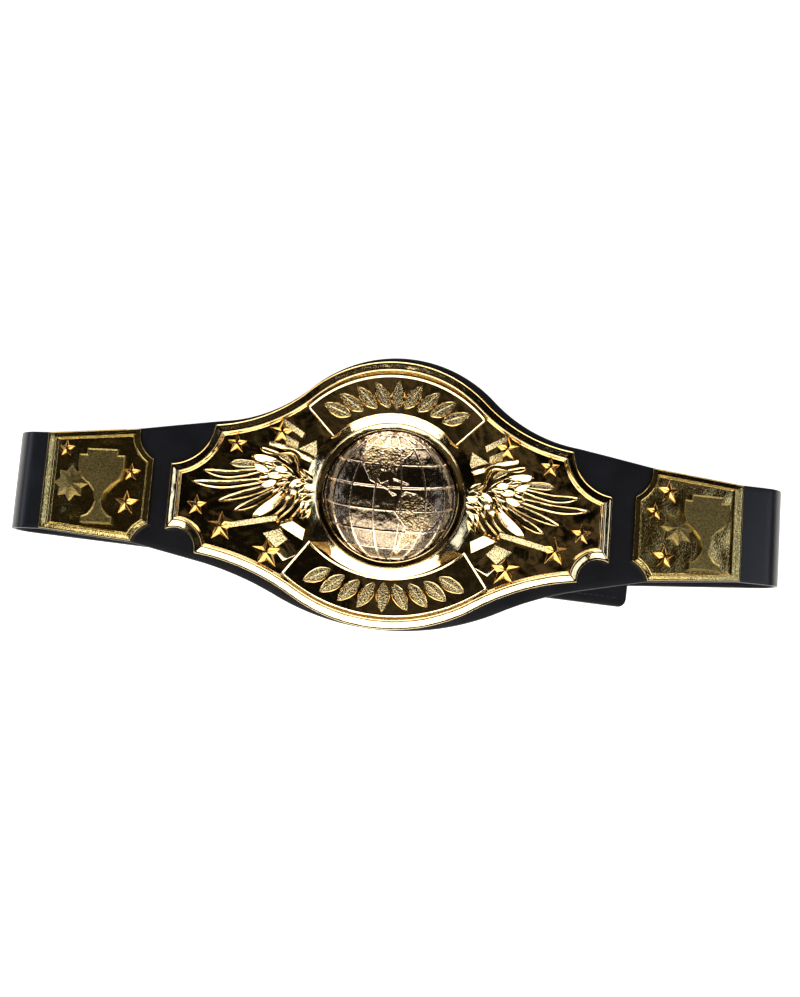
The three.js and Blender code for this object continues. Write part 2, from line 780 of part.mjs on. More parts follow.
// A point of the globe seen from the front, at a latitude, a longitude and a radius.
function onGlobe(latitude, longitude, radius) {
  const east = longitude - viewLongitude;
  const towards = Math.cos(latitude) * Math.cos(east);
  return [
    radius * Math.cos(latitude) * Math.sin(east),
    radius * (Math.cos(viewLatitude) * Math.sin(latitude) - Math.sin(viewLatitude) * towards),
    radius * (Math.sin(viewLatitude) * Math.sin(latitude) + Math.cos(viewLatitude) * towards),
  ];
}

// The lines of the graticule, and the middles of the cells after them, with the height at each.
const linesAndCells = (step, start, count) =>
  [...Array(count).keys()].flatMap((i) => [
    { angle: start + i * step, rise: graticuleRise },
    { angle: start + (i + 0.5) * step, rise: 0 },
  ]);

function globe() {
  const flattening = globeRise / globeRadius;
  const surface = globeRadius - graticuleRise;
  const below = Math.ceil((Math.PI / 2 + firstParallel) / parallelStep) - 1;
  const above = Math.ceil((Math.PI / 2 - firstParallel) / parallelStep) - 1;
  const parallels = below + above + 1;
  const lowest = firstParallel - below * parallelStep;
  const rows = linesAndCells(parallelStep, lowest, parallels).slice(0, -1);
  const meridians = Math.round((2 * Math.PI) / meridianStep);
  const columns = linesAndCells((2 * Math.PI) / meridians, viewLongitude + firstMeridian, meridians);
  const rings = rows.map((row) =>
    columns.map((column) => onGlobe(row.angle, column.angle, surface + Math.max(row.rise, column.rise))));
  const points = [...rings.flat(), onGlobe(-Math.PI / 2, 0, surface), onGlobe(Math.PI / 2, 0, surface)];
  const count = columns.length;
  const faces = [];
  for (let i = 0; i < count; i++) {
    const next = (i + 1) % count;
    for (let row = 0; row + 1 < rings.length; row++) {
      const [a, b] = [row * count + i, row * count + next];
      faces.push([a, b, b + count], [a, b + count, a + count]);
    }
    const top = (rings.length - 1) * count;
    faces.push([next, i, points.length - 2], [top + i, top + next, points.length - 1]);
  }
  const ball = solidOf(points, faces);
  const lands = coasts.map((coast) => {
    const outline = coast.map(([latitude, longitude]) =>
      onGlobe(latitude * degrees, longitude * degrees, surface).slice(0, 2));
    const turned = THREE.ShapeUtils.area(outline.map(([x, y]) => new THREE.Vector2(x, y))) < 0;
    if (turned) outline.reverse();
    return stacked([raised(outline, 0), raised(outline, 2 * globeRadius)]);
  });
  const landShape = new THREE.SphereGeometry(surface + landRise, ballSides, ballSides / 2);
  const landBall = solidFromGeometry(landShape.rotateX(Math.PI / 2));
  const inside = solidFromGeometry(
    new THREE.CylinderGeometry(globeRadius, globeRadius, 2 * globeRadius, ringSides)
      .rotateX(Math.PI / 2)
      .translate(0, 0, globeRadius),
  );
  const dome = ball
    .add(joined(lands).intersect(landBall))
    .intersect(inside)
    .scale([1, 1, flattening]);
  const footCylinder = new THREE.CylinderGeometry(surface, surface, globeDepth + sink, ringSides);
  const foot = solidFromGeometry(footCylinder.rotateX(Math.PI / 2).translate(0, 0, (sink - globeDepth) / 2));
  return dome.add(foot).translate([0, 0, field + seat + globeDepth]);
}

// A side plate's outline on the right, walked anticlockwise from its lower inner corner.
function sideOutline(gap) {
  const inner = tabReach + gap;
  const outer = inner + sideLength;
  const lowCorner = [inner + sideNotchLength, sideInnerBottom];
  const highCorner = [inner + sideNotchLength, sideInnerTop];
  const outerLow = [outer, sideOuterBottom];
  const outerHigh = [outer, sideOuterTop];
  const innerHigh = [inner, sideInnerTop - sideTopNotch];
  const innerLow = [inner, sideInnerBottom + sideBottomNotch];
  const notch = (from, to) => arc(centreThrough(from, to, sideNotchRadius), sideNotchRadius, true, 3);
  return {
    edges: [
      straight(lowCorner, outerLow),
      straight(outerLow, outerHigh, outerRimScale),
      straight(outerHigh, highCorner),
      notch(highCorner, innerHigh),
      straight(innerHigh, innerLow),
      notch(innerLow, lowCorner),
    ],
    corners: [lowCorner, outerLow, outerHigh, highCorner, innerHigh, innerLow],
  };
}

// Half of the cup's outline from its foot up, as shares of its width and height.
const cupOutline = [
  [0.34, -0.5], [0.34, -0.41], [0.22, -0.38], [0.12, -0.3], [0.07, -0.2], [0.12, -0.08], [0.25, 0.02],
  [0.42, 0.1], [0.5, 0.24], [0.5, 0.42], [0.34, 0.42], [0.34, 0.5],
];

// The side plates' raised work. Along is a share of the plate's length from the main plate
// outwards, up a share of its height at the fold.
const leftLayout = {
  cup: [0.46, -0.04],
  rosette: [0.74, -0.02],
  stars: [
    { place: [0.81, 0.34], size: 0.75 },
    { place: [0.19, 0.12], size: 0.8 },
    { place: [0.21, -0.2], size: 1.1 },
  ],
};
const rightLayout = {
  cup: [0.65, -0.04],
  rosette: [0.4, -0.01],
  stars: [
    { place: [0.3, 0.35], size: 1.05 },
    { place: [0.18, 0.13], size: 0.78 },
    { place: [0.28, -0.33], size: 1.05 },
  ],
};

// A side plate as it lies on the right. The left one is mirrored afterwards.
function sidePlate(gap, layout) {
  const height = sideOuterTop - sideOuterBottom;
  const middle = (sideOuterTop + sideOuterBottom) / 2;
  const inPlate = ([along, up]) => [tabReach + gap + along * sideLength, middle + up * height];
  const cupHalf = cupOutline.map(([across, up]) => [across * cupWidth, up * cupHeight]);
  const cupWhole = [...cupHalf, ...cupHalf.map(mirrored).reverse()];
  const cup = cupWhole.map((point) => plus(point, inPlate(layout.cup)));
  return joined([
    plateWithRim(sideOutline(gap), sideRimWidth, sideRimRise),
    stacked([
      raised(cup, field - sink),
      raised(cup, field + cupRise - cupBevel),
      raised(shrunk(cup, cupBevel), field + cupRise),
    ]),
    star(inPlate(layout.rosette), rosetteRadius, rosetteRise / 2, rosetteRise, rosettePetals, rosetteWaist),
    ...layout.stars.map((row) =>
      star(inPlate(row.place), row.size * sideStarRadius, starEdge, row.size * sideStarRise)),
  ]);
}

// The strap's upper edge on one side, up 1, or its lower edge, up -1: a crown, a flare to the
// corner of the main plate, and straight stretches to the side plate's corners and the fold.
function strapEdgeOf({ gap, sign }, up) {
  const inner = tabReach + gap + sideNotchLength;
  const outer = tabReach + gap + sideLength;
  const shift = sign * leatherShift;
  if (up > 0) {
    const radius = topFlare.radius - topMargin;
    const corner = topCorner[0];
    const cornerHeight = topFlare.centre[1] - Math.sqrt(radius ** 2 - (corner - topFlare.centre[0]) ** 2);
    return {
      up,
      shift,
      crown: { ...crown, radius: crownRadius + topMargin },
      flare: { ...topFlare, radius },
      crownEnd: (crownRadius + topMargin) * Math.sin(crownAngle),
      line: [[corner + shift, cornerHeight], [inner, sideInnerTop + sideMargin], [outer, strapEndTop]],
    };
  }
  const lowCorner = plus(bottomCorner, [0, -cornerMargin]);
  const lowCrown = { centre: chinBottom - bottomMargin + bottomCrownRadius, radius: bottomCrownRadius, up };
  const flare = flareFrom(lowCrown, bottomCrownAngle, lowCorner);
  return {
    up,
    shift,
    crown: lowCrown,
    flare,
    crownEnd: flare.start[0],
    line: [
      plus(lowCorner, [shift, 0]),
      [inner, sideInnerBottom - sideMargin],
      [outer, strapEndTop - strapEndHeight],
    ],
  };
}

// The height of such an edge at a length along the belt.
function edgeHeight({ up, shift, crown, flare, crownEnd, line }, along) {
  const shaped = Math.abs(along - shift);
  if (shaped < crownEnd) return crown.centre + up * Math.sqrt(crown.radius ** 2 - shaped ** 2);
  if (along < line[0][0])
    return flare.centre[1] - up * Math.sqrt(flare.radius ** 2 - (shaped - flare.centre[0]) ** 2);
  const stretch = line.findIndex(([end], i) => i > 0 && along < end);
  if (stretch < 0) return line.at(-1)[1];
  const [from, to] = [line[stretch - 1], line[stretch]];
  return from[1] + ((along - from[0]) / (to[0] - from[0])) * (to[1] - from[1]);
}

// The strap's stations on one side, from the middle of the front to the end, with its edges there.
function strapStations(side) {
  const lengths = side.arcs.map((arc) => arc.length);
  const steps = [2 * frontStations, 2 * sideStations, bendSteps, ...lengths.slice(3).map(() => rampSteps)];
  const stations = [];
  let start = 0;
  lengths.forEach((length, i) => {
    for (let step = 0; step < steps[i]; step++) stations.push(start + (length * step) / steps[i]);
    start += length;
  });
  const rounded = stations.filter((along) => along < side.end - endCornerRadius);
  const upper = strapEdgeOf(side, 1);
  const lower = strapEdgeOf(side, -1);
  const rows = rounded.map((along) => ({
    along,
    top: edgeHeight(upper, along),
    bottom: edgeHeight(lower, along),
  }));
  for (let step = 0; step <= cornerSteps; step++) {
    const angle = (step / cornerSteps) * (Math.PI / 2);
    const along = side.end - endCornerRadius * (1 - Math.sin(angle));
    const cut = endCornerRadius * (1 - Math.cos(angle));
    rows.push({ along, top: edgeHeight(upper, along) - cut, bottom: edgeHeight(lower, along) + cut });
  }
  return rows;
}

function strap() {
  const rowsOf = (side) => strapStations(side).map((row) => ({ ...row, u: side.sign * row.along }));
  const rows = [...rowsOf(left).slice(1).reverse(), ...rowsOf(right)];
  const sections = rows.map(({ u, top, bottom }) => [
    [u, bottom, 0],
    [u, bottom, -strapThickness],
    [u, top, -strapThickness],
    [u, top, 0],
  ]);
  return lofted(sections.map((section) => section.map(bent)));
}

// A patch on the strap, from its end inwards, with its far and near face at these heights.
function patch(side, low, high) {
  const outer = side.end - patchMargin;
  const inner = outer - patchLength;
  const top = strapEndTop - patchMargin;
  const bottom = strapEndTop - strapEndHeight + patchMargin;
  const ends = [side.sign * inner, side.sign * outer].sort((a, b) => a - b);
  const outline = [[ends[0], bottom], [ends[1], bottom], [ends[1], top], [ends[0], top]];
  return meshOf(stacked([raised(outline, low), raised(outline, high)]));
}

function geometryOf({ points, faces }) {
  const geometry = new THREE.BufferGeometry();
  geometry.setAttribute("position", new THREE.Float32BufferAttribute(points.flat(), 3));
  geometry.setIndex(faces.flat());
  geometry.computeVertexNormals();
  return geometry;
}

function wrapped({ points, faces }) {
  return geometryOf({ points: points.map(bent), faces });
}

const gold = new THREE.MeshStandardMaterial({
  color: 0xd8b24c,
  metalness: 0.95,
  roughness: 0.22,
  flatShading: true,
});
const leatherCloth = new THREE.MeshStandardMaterial({ color: 0x17181d, metalness: 0, roughness: 0.5 });
const hookCloth = new THREE.MeshStandardMaterial({ color: 0x1c1c1f, metalness: 0, roughness: 0.95 });

function named(name, geometry, material) {
  const mesh = new THREE.Mesh(geometry, material);
  mesh.name = name;
  return mesh;
}

const stations = frontStationsOf();
const wrappedPlate = (solid) => wrapped(cutAtStations(meshOf(solid), stations));
const insideFace = -strapThickness - seat;

const belt = new THREE.Group();
belt.add(
  named("strap", geometryOf(meshOf(strap())), leatherCloth),
  named("hook_patch", wrapped(patch(right, insideFace - patchThickness, insideFace)), hookCloth),
  named("loop_patch", wrapped(patch(left, seat, seat + patchThickness)), hookCloth),
  named("main_plate", wrappedPlate(mainPlate()), gold),
  named("globe", wrappedPlate(globe()), gold),
  named("side_plate_right", wrappedPlate(sidePlate(rightGap, rightLayout)), gold),
  named("side_plate_left", wrappedPlate(sidePlate(leftGap, leftLayout).mirror([1, 0, 0])), gold),
);

export default belt;
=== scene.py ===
import math

import bmesh
import bpy
import numpy as np
from mathutils import Matrix, Vector, noise


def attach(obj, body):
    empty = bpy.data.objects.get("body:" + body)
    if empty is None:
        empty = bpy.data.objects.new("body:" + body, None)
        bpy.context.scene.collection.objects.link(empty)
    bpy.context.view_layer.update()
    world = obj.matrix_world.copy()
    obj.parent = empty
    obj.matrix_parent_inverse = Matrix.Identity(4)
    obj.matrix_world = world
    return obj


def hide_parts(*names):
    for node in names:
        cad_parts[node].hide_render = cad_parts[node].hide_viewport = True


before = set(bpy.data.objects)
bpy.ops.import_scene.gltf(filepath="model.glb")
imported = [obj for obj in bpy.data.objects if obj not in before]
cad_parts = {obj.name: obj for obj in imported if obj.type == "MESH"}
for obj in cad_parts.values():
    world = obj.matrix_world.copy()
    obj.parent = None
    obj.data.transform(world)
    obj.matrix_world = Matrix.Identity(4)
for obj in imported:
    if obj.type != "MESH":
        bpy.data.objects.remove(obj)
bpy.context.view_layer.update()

# The camera
# It looks down on the belt from 0.78 m, tipped a little towards the belt's lower edge and
# rolled so that the belt runs downhill to the right.
camera_target = Vector((0.0057, 0, 0.057))
camera_distance = 0.78
camera_tilt = math.radians(7.5)
camera_roll = math.radians(4.4)
focal_length_pixels = 1300
picture_height_pixels = 997
sensor_size = 36

camera_back = Vector((0, -math.sin(camera_tilt), math.cos(camera_tilt)))
level = Vector((1, 0, 0))
upright = camera_back.cross(level)
camera_right = level * math.cos(camera_roll) + upright * math.sin(camera_roll)
camera_up = upright * math.cos(camera_roll) - level * math.sin(camera_roll)
camera_place = camera_target + camera_back * camera_distance

camera = bpy.data.objects.new("camera", bpy.data.cameras.new("camera"))
camera.matrix_world = Matrix((
    (camera_right.x, camera_up.x, camera_back.x, camera_place.x),
    (camera_right.y, camera_up.y, camera_back.y, camera_place.y),
    (camera_right.z, camera_up.z, camera_back.z, camera_place.z),
    (0, 0, 0, 1),
))
camera.data.sensor_width = sensor_size
camera.data.lens = sensor_size * focal_length_pixels / picture_height_pixels
bpy.context.collection.objects.link(camera)
bpy.context.scene.camera = camera


# The studio
# A dark room with soft boxes above and below the belt, smaller ones at its ends, and a pale
# table that is bright enough to show as white. Mirror-bright plates show the room, so the
# ceiling over them is kept dark.
def linear(hex_colour):
    """The linear colour of an sRGB hex value."""
    channels = [int(hex_colour[i:i + 2], 16) / 255 for i in (1, 3, 5)]
    return (*[c / 12.92 if c <= 0.04045 else ((c + 0.055) / 1.055) ** 2.4 for c in channels], 1)


def add_node(tree, kind, settings=None, links=None):
    """Adds a node. Settings name its inputs or properties, links go from (node, output)."""
    node = tree.nodes.new(kind)
    for name, value in (settings or {}).items():
        if isinstance(name, int) or name in node.inputs:
            node.inputs[name].default_value = value
        else:
            setattr(node, name, value)
    for name, (source, output) in (links or {}).items():
        tree.links.new(source.outputs[output], node.inputs[name])
    return node


def new_material(name):
    """An empty node material and its tree."""
    material = bpy.data.materials.new(name)
    material.use_nodes = True
    material.node_tree.nodes.clear()
    return material, material.node_tree


bpy.context.scene.view_settings.view_transform = "Standard"
bpy.context.scene.view_settings.look = "None"

world = bpy.data.worlds.new("dark_room")
world.use_nodes = True
room = world.node_tree
room.nodes.clear()
direction = add_node(room, "ShaderNodeTexCoord")
shapes = add_node(room, "ShaderNodeTexNoise", {"Scale": 3.2, "Detail": 2.5, "Distortion": 0.6},
                  {"Vector": (direction, "Generated")})
spread = add_node(room, "ShaderNodeMapRange", {"From Min": 0.48, "From Max": 0.7},
                  {"Value": (shapes, "Fac")})
dim = add_node(room, "ShaderNodeMix", {
    "data_type": "RGBA", 6: linear("#060503"), 7: linear("#625640")}, {0: (spread, "Result")})
glow = add_node(room, "ShaderNodeBackground", {"Strength": 1}, {"Color": (dim, 2)})
add_node(room, "ShaderNodeOutputWorld", {}, {"Surface": (glow, "Background")})
bpy.context.scene.world = world


def table(columns, rows):
    """A table's rows as dictionaries with named columns. A short row leaves out its last ones."""
    return [dict(zip(columns, row)) for row in rows]


soft_boxes = table(("name", "from", "size", "radiance", "colour"), [
    ("upper_box", (0, 1.45, 0.52), (1.7, 0.88), 4.2, "#fffaf0"),
    ("lower_box", (-0.05, -0.97, 0.95), (2.3, 1.22), 3.4, "#fffaf0"),
    ("left_box", (-1.08, 0.12, 0.4), (0.8, 0.16), 2.4, "#e4edff"),
    ("right_box", (0.98, -0.1, 0.66), (0.7, 0.2), 1.8, "#e4edff"),
])
for row in soft_boxes:
    light = bpy.data.lights.new(row["name"], "AREA")
    light.shape = "RECTANGLE"
    light.size, light.size_y = row["size"]
    light.color = linear(row["colour"])[:3]
    light.energy = row["radiance"] * math.pi * light.size * light.size_y
    lamp = bpy.data.objects.new(row["name"], light)
    lamp.location = row["from"]
    lamp.rotation_euler = (-Vector(row["from"])).to_track_quat("-Z", "Y").to_euler()
    bpy.context.collection.objects.link(lamp)

board_size = 6
board_mesh = bpy.data.meshes.new("table")
half = board_size / 2
board_mesh.from_pydata(
    [(-half, -half, 0), (half, -half, 0), (half, half, 0), (-half, half, 0)], [], [(0, 1, 2, 3)])
board = bpy.data.objects.new("table", board_mesh)
bpy.context.collection.objects.link(board)
matt_board, tree = new_material("matt_white_board")
white = add_node(tree, "ShaderNodeBsdfPrincipled", {
    "Base Color": linear("#f2f2f2"), "Roughness": 0.9, "Specular IOR Level": 0.2,
    "Emission Color": linear("#ffffff"), "Emission Strength": 0.8})
add_node(tree, "ShaderNodeOutputMaterial", {}, {"Surface": (white, "BSDF")})
board_mesh.materials.append(matt_board)

# The strap
# One length of black PVC leather cloth, 2.2 mm thick, cut wide behind the main plate and folded
# into a flattened loop with its ends lapped behind. Its outer face is embossed with a fine grain.
# Sizes here and in the other pieces are in millimetres, along the belt, across it and out of it.
mm = 0.001
loop_height = 61
front_length = 137
front_turn = math.radians(10)
side_lengths = {-1: 89.5, 1: 101.5}
side_turn = math.radians(4)
outer_end_reach = 20
inner_end_reach = 154.5
ramp_run = 26
ramp_clearance = 8
slopes = {-1: math.radians(2.9), 1: math.radians(3.4)}
slope_easing = 40
strap_thickness = 2.2
patch_thickness = 1.2
seat = 0.3


def place_on(arcs, along):
    """The points of a route at lengths along it, and its heading down from level there."""
    x = np.zeros_like(along)
    z = np.full_like(along, float(loop_height))
    heading = np.zeros_like(along)
    remaining = along.copy()
    for index, (length, turn) in enumerate(arcs):
        part = remaining if index == len(arcs) - 1 else np.minimum(remaining, length)
        after = heading + turn * part / length
        if turn:
            x += (length / turn) * (np.sin(after) - np.sin(heading))
            z += (length / turn) * (np.cos(after) - np.cos(heading))
        else:
            x += part * np.cos(heading)
            z -= part * np.sin(heading)
        heading = after
        remaining = remaining - part
    return x, z, heading


def end_of(arcs):
    """How far along a route ends, and its place there."""
    length = sum(arc[0] for arc in arcs)
    x, z, _ = place_on(arcs, np.array([length]))
    return length, x[0], z[0]


def route_of(side):
    """A side's route: front, side, fold, and the stretch behind with the inner end's climb."""
    arcs = [(front_length, front_turn), (side_lengths[side], side_turn)]
    turn = math.pi - front_turn - side_turn
    radius = end_of(arcs)[2] / (1 + math.cos(front_turn + side_turn))
    arcs.append((radius * turn, turn))
    if side < 0:
        rise = strap_thickness + 2 * patch_thickness + 3 * seat
        climb = 2 * math.atan2(rise, ramp_run)
        ramp = ramp_run / 2 / math.sin(climb) * climb
        ramp_start = outer_end_reach + ramp_clearance + ramp_run
        arcs += [(end_of(arcs)[1] - ramp_start, 0), (ramp, climb), (ramp, -climb)]
    end_x = -inner_end_reach if side < 0 else -outer_end_reach
    arcs.append((end_of(arcs)[1] - end_x, 0))
    return arcs


routes = {side: route_of(side) for side in (-1, 1)}
ends = {side: end_of(routes[side])[0] for side in (-1, 1)}


def bent(points):
    """Bends flat points, in millimetres, round the loop and turns them to metres."""
    u, v, w = np.asarray(points, float).T
    result = np.empty((len(u), 3))
    for side in (-1, 1):
        here = (u < 0) if side < 0 else (u >= 0)
        along = np.abs(u[here])
        start = sum(arc[0] for arc in routes[side][:2]) + routes[side][2][0] / 3
        past = np.maximum(0, along - start)
        eased = np.minimum(past, slope_easing)
        drop = (eased ** 2 / (2 * slope_easing) + past - eased) * math.tan(slopes[side])
        lean = eased / slope_easing * math.sin(slopes[side])
        x, z, heading = place_on(routes[side], along + v[here] * lean)
        result[here, 0] = side * (x + w[here] * np.sin(heading))
        result[here, 1] = v[here] - drop
        result[here, 2] = z + w[here] * np.cos(heading)
    return result * mm


# The outlines of the main plate and of the leather behind it, as crowns, flares and corners
crown_radius = 78
crown_centre = 4
crown_angle = math.radians(43)
chin_radius = 103
chin_centre = 24
chin_angle = math.radians(32)
top_corner = (108.5, 36.5)
bottom_corner = (114.9, -42)
tab_reach = 134
side_gaps = {-1: 11.5, 1: 15}
side_length = 70.5
side_inner_top = 31.8
side_inner_bottom = -37
side_notch_length = 10
strap_end_height = 60.5
strap_end_top = 28
end_corner_radius = 5
top_margin = 3
bottom_margin = 0.4
bottom_crown_radius = 150
bottom_crown_angle = math.radians(26.5)
corner_margin = 4.8
side_margin = 0.8
leather_shift = 3
edge_round = 0.55


def flare_from(centre, radius, up, angle, corner):
    """The arc that leaves a crown without a kink and ends in a corner."""
    outward = np.array([math.sin(angle), up * math.cos(angle)])
    start = np.array([0, centre]) + outward * radius
    chord = np.array(corner) - start
    flare_radius = chord @ chord / (2 * chord @ outward)
    return {"start": start, "centre": start + outward * flare_radius, "radius": flare_radius}


top_flare = flare_from(crown_centre, crown_radius, 1, crown_angle, top_corner)
bottom_flare = flare_from(chin_centre, chin_radius, -1, chin_angle, bottom_corner)


def strap_edge(side, up, along):
    """The height of the leather's upper or lower edge at lengths along one side."""
    inner = tab_reach + side_gaps[side] + side_notch_length
    outer = tab_reach + side_gaps[side] + side_length
    shift = side * leather_shift
    if up > 0:
        radius, centre = crown_radius + top_margin, crown_centre
        flare = {"centre": top_flare["centre"], "radius": top_flare["radius"] - top_margin}
        crown_end = radius * math.sin(crown_angle)
        corner = top_corner[0]
        corner_height = flare["centre"][1] - math.sqrt(
            flare["radius"] ** 2 - (corner - flare["centre"][0]) ** 2)
        line = [(corner + shift, corner_height), (inner, side_inner_top + side_margin),
                (outer, strap_end_top)]
    else:
        radius = bottom_crown_radius
        centre = chin_centre - chin_radius - bottom_margin + radius
        corner = (bottom_corner[0], bottom_corner[1] - corner_margin)
        flare = flare_from(centre, radius, -1, bottom_crown_angle, corner)
        crown_end = flare["start"][0]
        line = [(corner[0] + shift, corner[1]), (inner, side_inner_bottom - side_margin),
                (outer, strap_end_top - strap_end_height)]
    shaped = np.abs(along - shift)
    crown = centre + up * np.sqrt(np.maximum(0, radius ** 2 - shaped ** 2))
    flared = flare["centre"][1] - up * np.sqrt(
        np.maximum(0, flare["radius"] ** 2 - (shaped - flare["centre"][0]) ** 2))
    straight = np.interp(along, *zip(*line))
    return np.where(shaped < crown_end, crown, np.where(along < line[0][0], flared, straight))


def object_from(name, points, faces, materials, face_materials=None, sharp=math.radians(35)):
    """A mesh object from points in metres, smooth except at edges sharper than an angle."""
    mesh = bpy.data.meshes.new(name)
    mesh.from_pydata([tuple(point) for point in points], [], faces)
    for material in materials:
        mesh.materials.append(material)
    if face_materials is not None:
        mesh.polygons.foreach_set("material_index", face_materials)
    mesh.shade_smooth()
    mesh.set_sharp_from_angle(angle=sharp)
    mesh.update()
    made = bpy.data.objects.new(name, mesh)
    bpy.context.collection.objects.link(made)
    return made


def rows_of_quads(rows, around, closed):
    """Quads between rows of points that lie one after another, the ring closed or open."""
    return [
        (row * around + i, row * around + (i + 1) % around,
         (row + 1) * around + (i + 1) % around, (row + 1) * around + i)
        for row in range(rows - 1) for i in range(around if closed else around - 1)]


strap_step = 2
face_divisions = 20
edge_steps = 4

corner_turns = np.linspace(0, math.pi / 2, 7)
alongs = {}
for side in (-1, 1):
    straight_part = np.arange(0, ends[side] - end_corner_radius, strap_step)
    alongs[side] = np.append(straight_part, ends[side] - end_corner_radius * (1 - np.sin(corner_turns)))
strap_u = np.concatenate([-alongs[-1][:0:-1], alongs[1]])
strap_top = np.empty_like(strap_u)
strap_bottom = np.empty_like(strap_u)
for side in (-1, 1):
    here = (strap_u < 0) if side < 0 else (strap_u >= 0)
    along = np.abs(strap_u[here])
    into_corner = np.clip(along - ends[side] + end_corner_radius, 0, end_corner_radius)
    cut = end_corner_radius - np.sqrt(end_corner_radius ** 2 - into_corner ** 2)
    strap_top[here] = strap_edge(side, 1, along) - cut
    strap_bottom[here] = strap_edge(side, -1, along) + cut

quarter = np.linspace(0, math.pi / 2, edge_steps + 1)
section = []
inner_share = np.linspace(0, 1, face_divisions + 1)
for share in inner_share:
    section.append((share, 0, 0))
for turn in quarter[1:]:
    section.append((1, edge_round * math.sin(turn), -edge_round * (1 - math.cos(turn))))
for turn in quarter[:-1]:
    section.append((1, edge_round * math.cos(turn), -strap_thickness + edge_round * (1 - math.sin(turn))))
for share in inner_share[::-1]:
    section.append((share, 0, -strap_thickness))
for turn in quarter[1:]:
    section.append((0, -edge_round * math.sin(turn), -strap_thickness + edge_round * (1 - math.cos(turn))))
for turn in quarter[:-1]:
    section.append((0, -edge_round * math.cos(turn), -edge_round * (1 - math.sin(turn))))
section = np.array(section)
low = (strap_bottom + edge_round)[:, None]
high = (strap_top - edge_round)[:, None]
strap_flat = np.stack([
    np.broadcast_to(strap_u[:, None], (len(strap_u), len(section))),
    low + (high - low) * section[:, 0] + section[:, 1],
    np.broadcast_to(section[:, 2], (len(strap_u), len(section))),
], axis=-1).reshape(-1, 3)
strap_faces = rows_of_quads(len(strap_u), len(section), True)
last_row = (len(strap_u) - 1) * len(section)
strap_faces = [face[::-1] for face in strap_faces]
strap_faces.append(tuple(range(len(section))))
strap_faces.append(tuple(last_row + i for i in reversed(range(len(section)))))

# PVC leather cloth, calendered and embossed: near black, with a satin sheen that comes up grey
# and slightly blue where it turns towards the light, over a fine pebble of about 0.8 mm.
grain_width = 0.8
leather, tree = new_material("embossed_pvc_leather")
place = add_node(tree, "ShaderNodeTexCoord")
grain = add_node(tree, "ShaderNodeTexVoronoi", {"Scale": 1 / (grain_width * mm), "Randomness": 1},
                 {"Vector": (place, "Object")})
drift = add_node(tree, "ShaderNodeTexNoise", {"Scale": 1 / (18 * mm), "Detail": 3},
                 {"Vector": (place, "Object")})
grain_bump = add_node(tree, "ShaderNodeBump", {"Strength": 0.35, "Distance": 0.12 * mm},
                      {"Height": (grain, "Distance")})
gloss = add_node(tree, "ShaderNodeMapRange", {"To Min": 0.26, "To Max": 0.34}, {"Value": (drift, "Fac")})
black = add_node(tree, "ShaderNodeMix", {
    "data_type": "RGBA", 6: linear("#0b0c11"), 7: linear("#181a23")}, {0: (drift, "Fac")})
skin = add_node(tree, "ShaderNodeBsdfPrincipled", {
    "Specular IOR Level": 0.6},
    {"Base Color": (black, 2), "Roughness": (gloss, "Result"), "Normal": (grain_bump, "Normal")})
add_node(tree, "ShaderNodeOutputMaterial", {}, {"Surface": (skin, "BSDF")})

strap = object_from("strap_leather", bent(strap_flat), strap_faces, [leather])
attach(strap, "root")
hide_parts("strap")

# The main plate
# A moulding of ABS plastic, vacuum-metallised in bright gold: a double rim round a sunk field,
# a ring for the globe and a banner over and under it. It is seated on the leather.
plate_thickness = 1.7
field = seat + plate_thickness
rim_width = 7
rim_rise = 2.4
globe_radius = 39
ring_width = 9.4
ring_rise = 5.8
ring_radius = globe_radius + seat + ring_width
tab_top = 11.5
tab_bottom = -28.8
top_notch_radius = 27.3
bottom_notch_radius = 13.2
point_spacing = 1.2
field_spacing = 1.4
sink = 0.6


def unit(vector):
    return np.asarray(vector, float) / np.hypot(*vector)


def turned_left(vector):
    return np.array([-vector[1], vector[0]])


def mirrored(point):
    return np.array([-point[0], point[1]])


def arc(centre, radius, hollow=True):
    """An arc of an outline, hollow where its centre is outside the plate."""
    return {"centre": np.asarray(centre, float), "radius": radius, "hollow": hollow}


def straight(start, stop, scale=1):
    """A straight edge of an outline. Its insets are multiplied by the scale."""
    return {"start": np.asarray(start, float), "stop": np.asarray(stop, float), "scale": scale}


def centre_through(start, stop, radius):
    """The centre of the circle through two points, on the right of the way between them."""
    way = np.subtract(stop, start)
    rise = math.sqrt(max(0, radius ** 2 - way @ way / 4))
    return np.asarray(start) + way / 2 - turned_left(unit(way)) * rise


def meet(first, second, inset, near):
    """Where two edges meet, both moved inwards, on the side where their corner is."""
    moved = []
    for edge in (first, second):
        if "centre" in edge:
            moved.append({**edge, "radius": edge["radius"] + (inset if edge["hollow"] else -inset)})
        else:
            way = unit(edge["stop"] - edge["start"])
            moved.append({"way": way, "from": edge["start"] + turned_left(way) * inset * edge["scale"]})
    a, b = moved
    if "way" in a and "way" in b:
        across = turned_left(b["way"])
        return a["from"] + a["way"] * ((b["from"] - a["from"]) @ across / (a["way"] @ across))
    if "centre" in a and "centre" in b:
        between = b["centre"] - a["centre"]
        gap = np.hypot(*between)
        along = (a["radius"] ** 2 - b["radius"] ** 2 + gap ** 2) / (2 * gap)
        middle = a["centre"] + between / gap * along
        way = turned_left(between / gap)
        reach = math.sqrt(max(0, a["radius"] ** 2 - along ** 2))
    else:
        line, circle = (a, b) if "way" in a else (b, a)
        way = line["way"]
        middle = line["from"] + way * ((circle["centre"] - line["from"]) @ way)
        off = circle["centre"] - middle
        reach = math.sqrt(max(0, circle["radius"] ** 2 - off @ off))
    both = [middle + way * reach, middle - way * reach]
    return min(both, key=lambda point: np.hypot(*(point - near)))


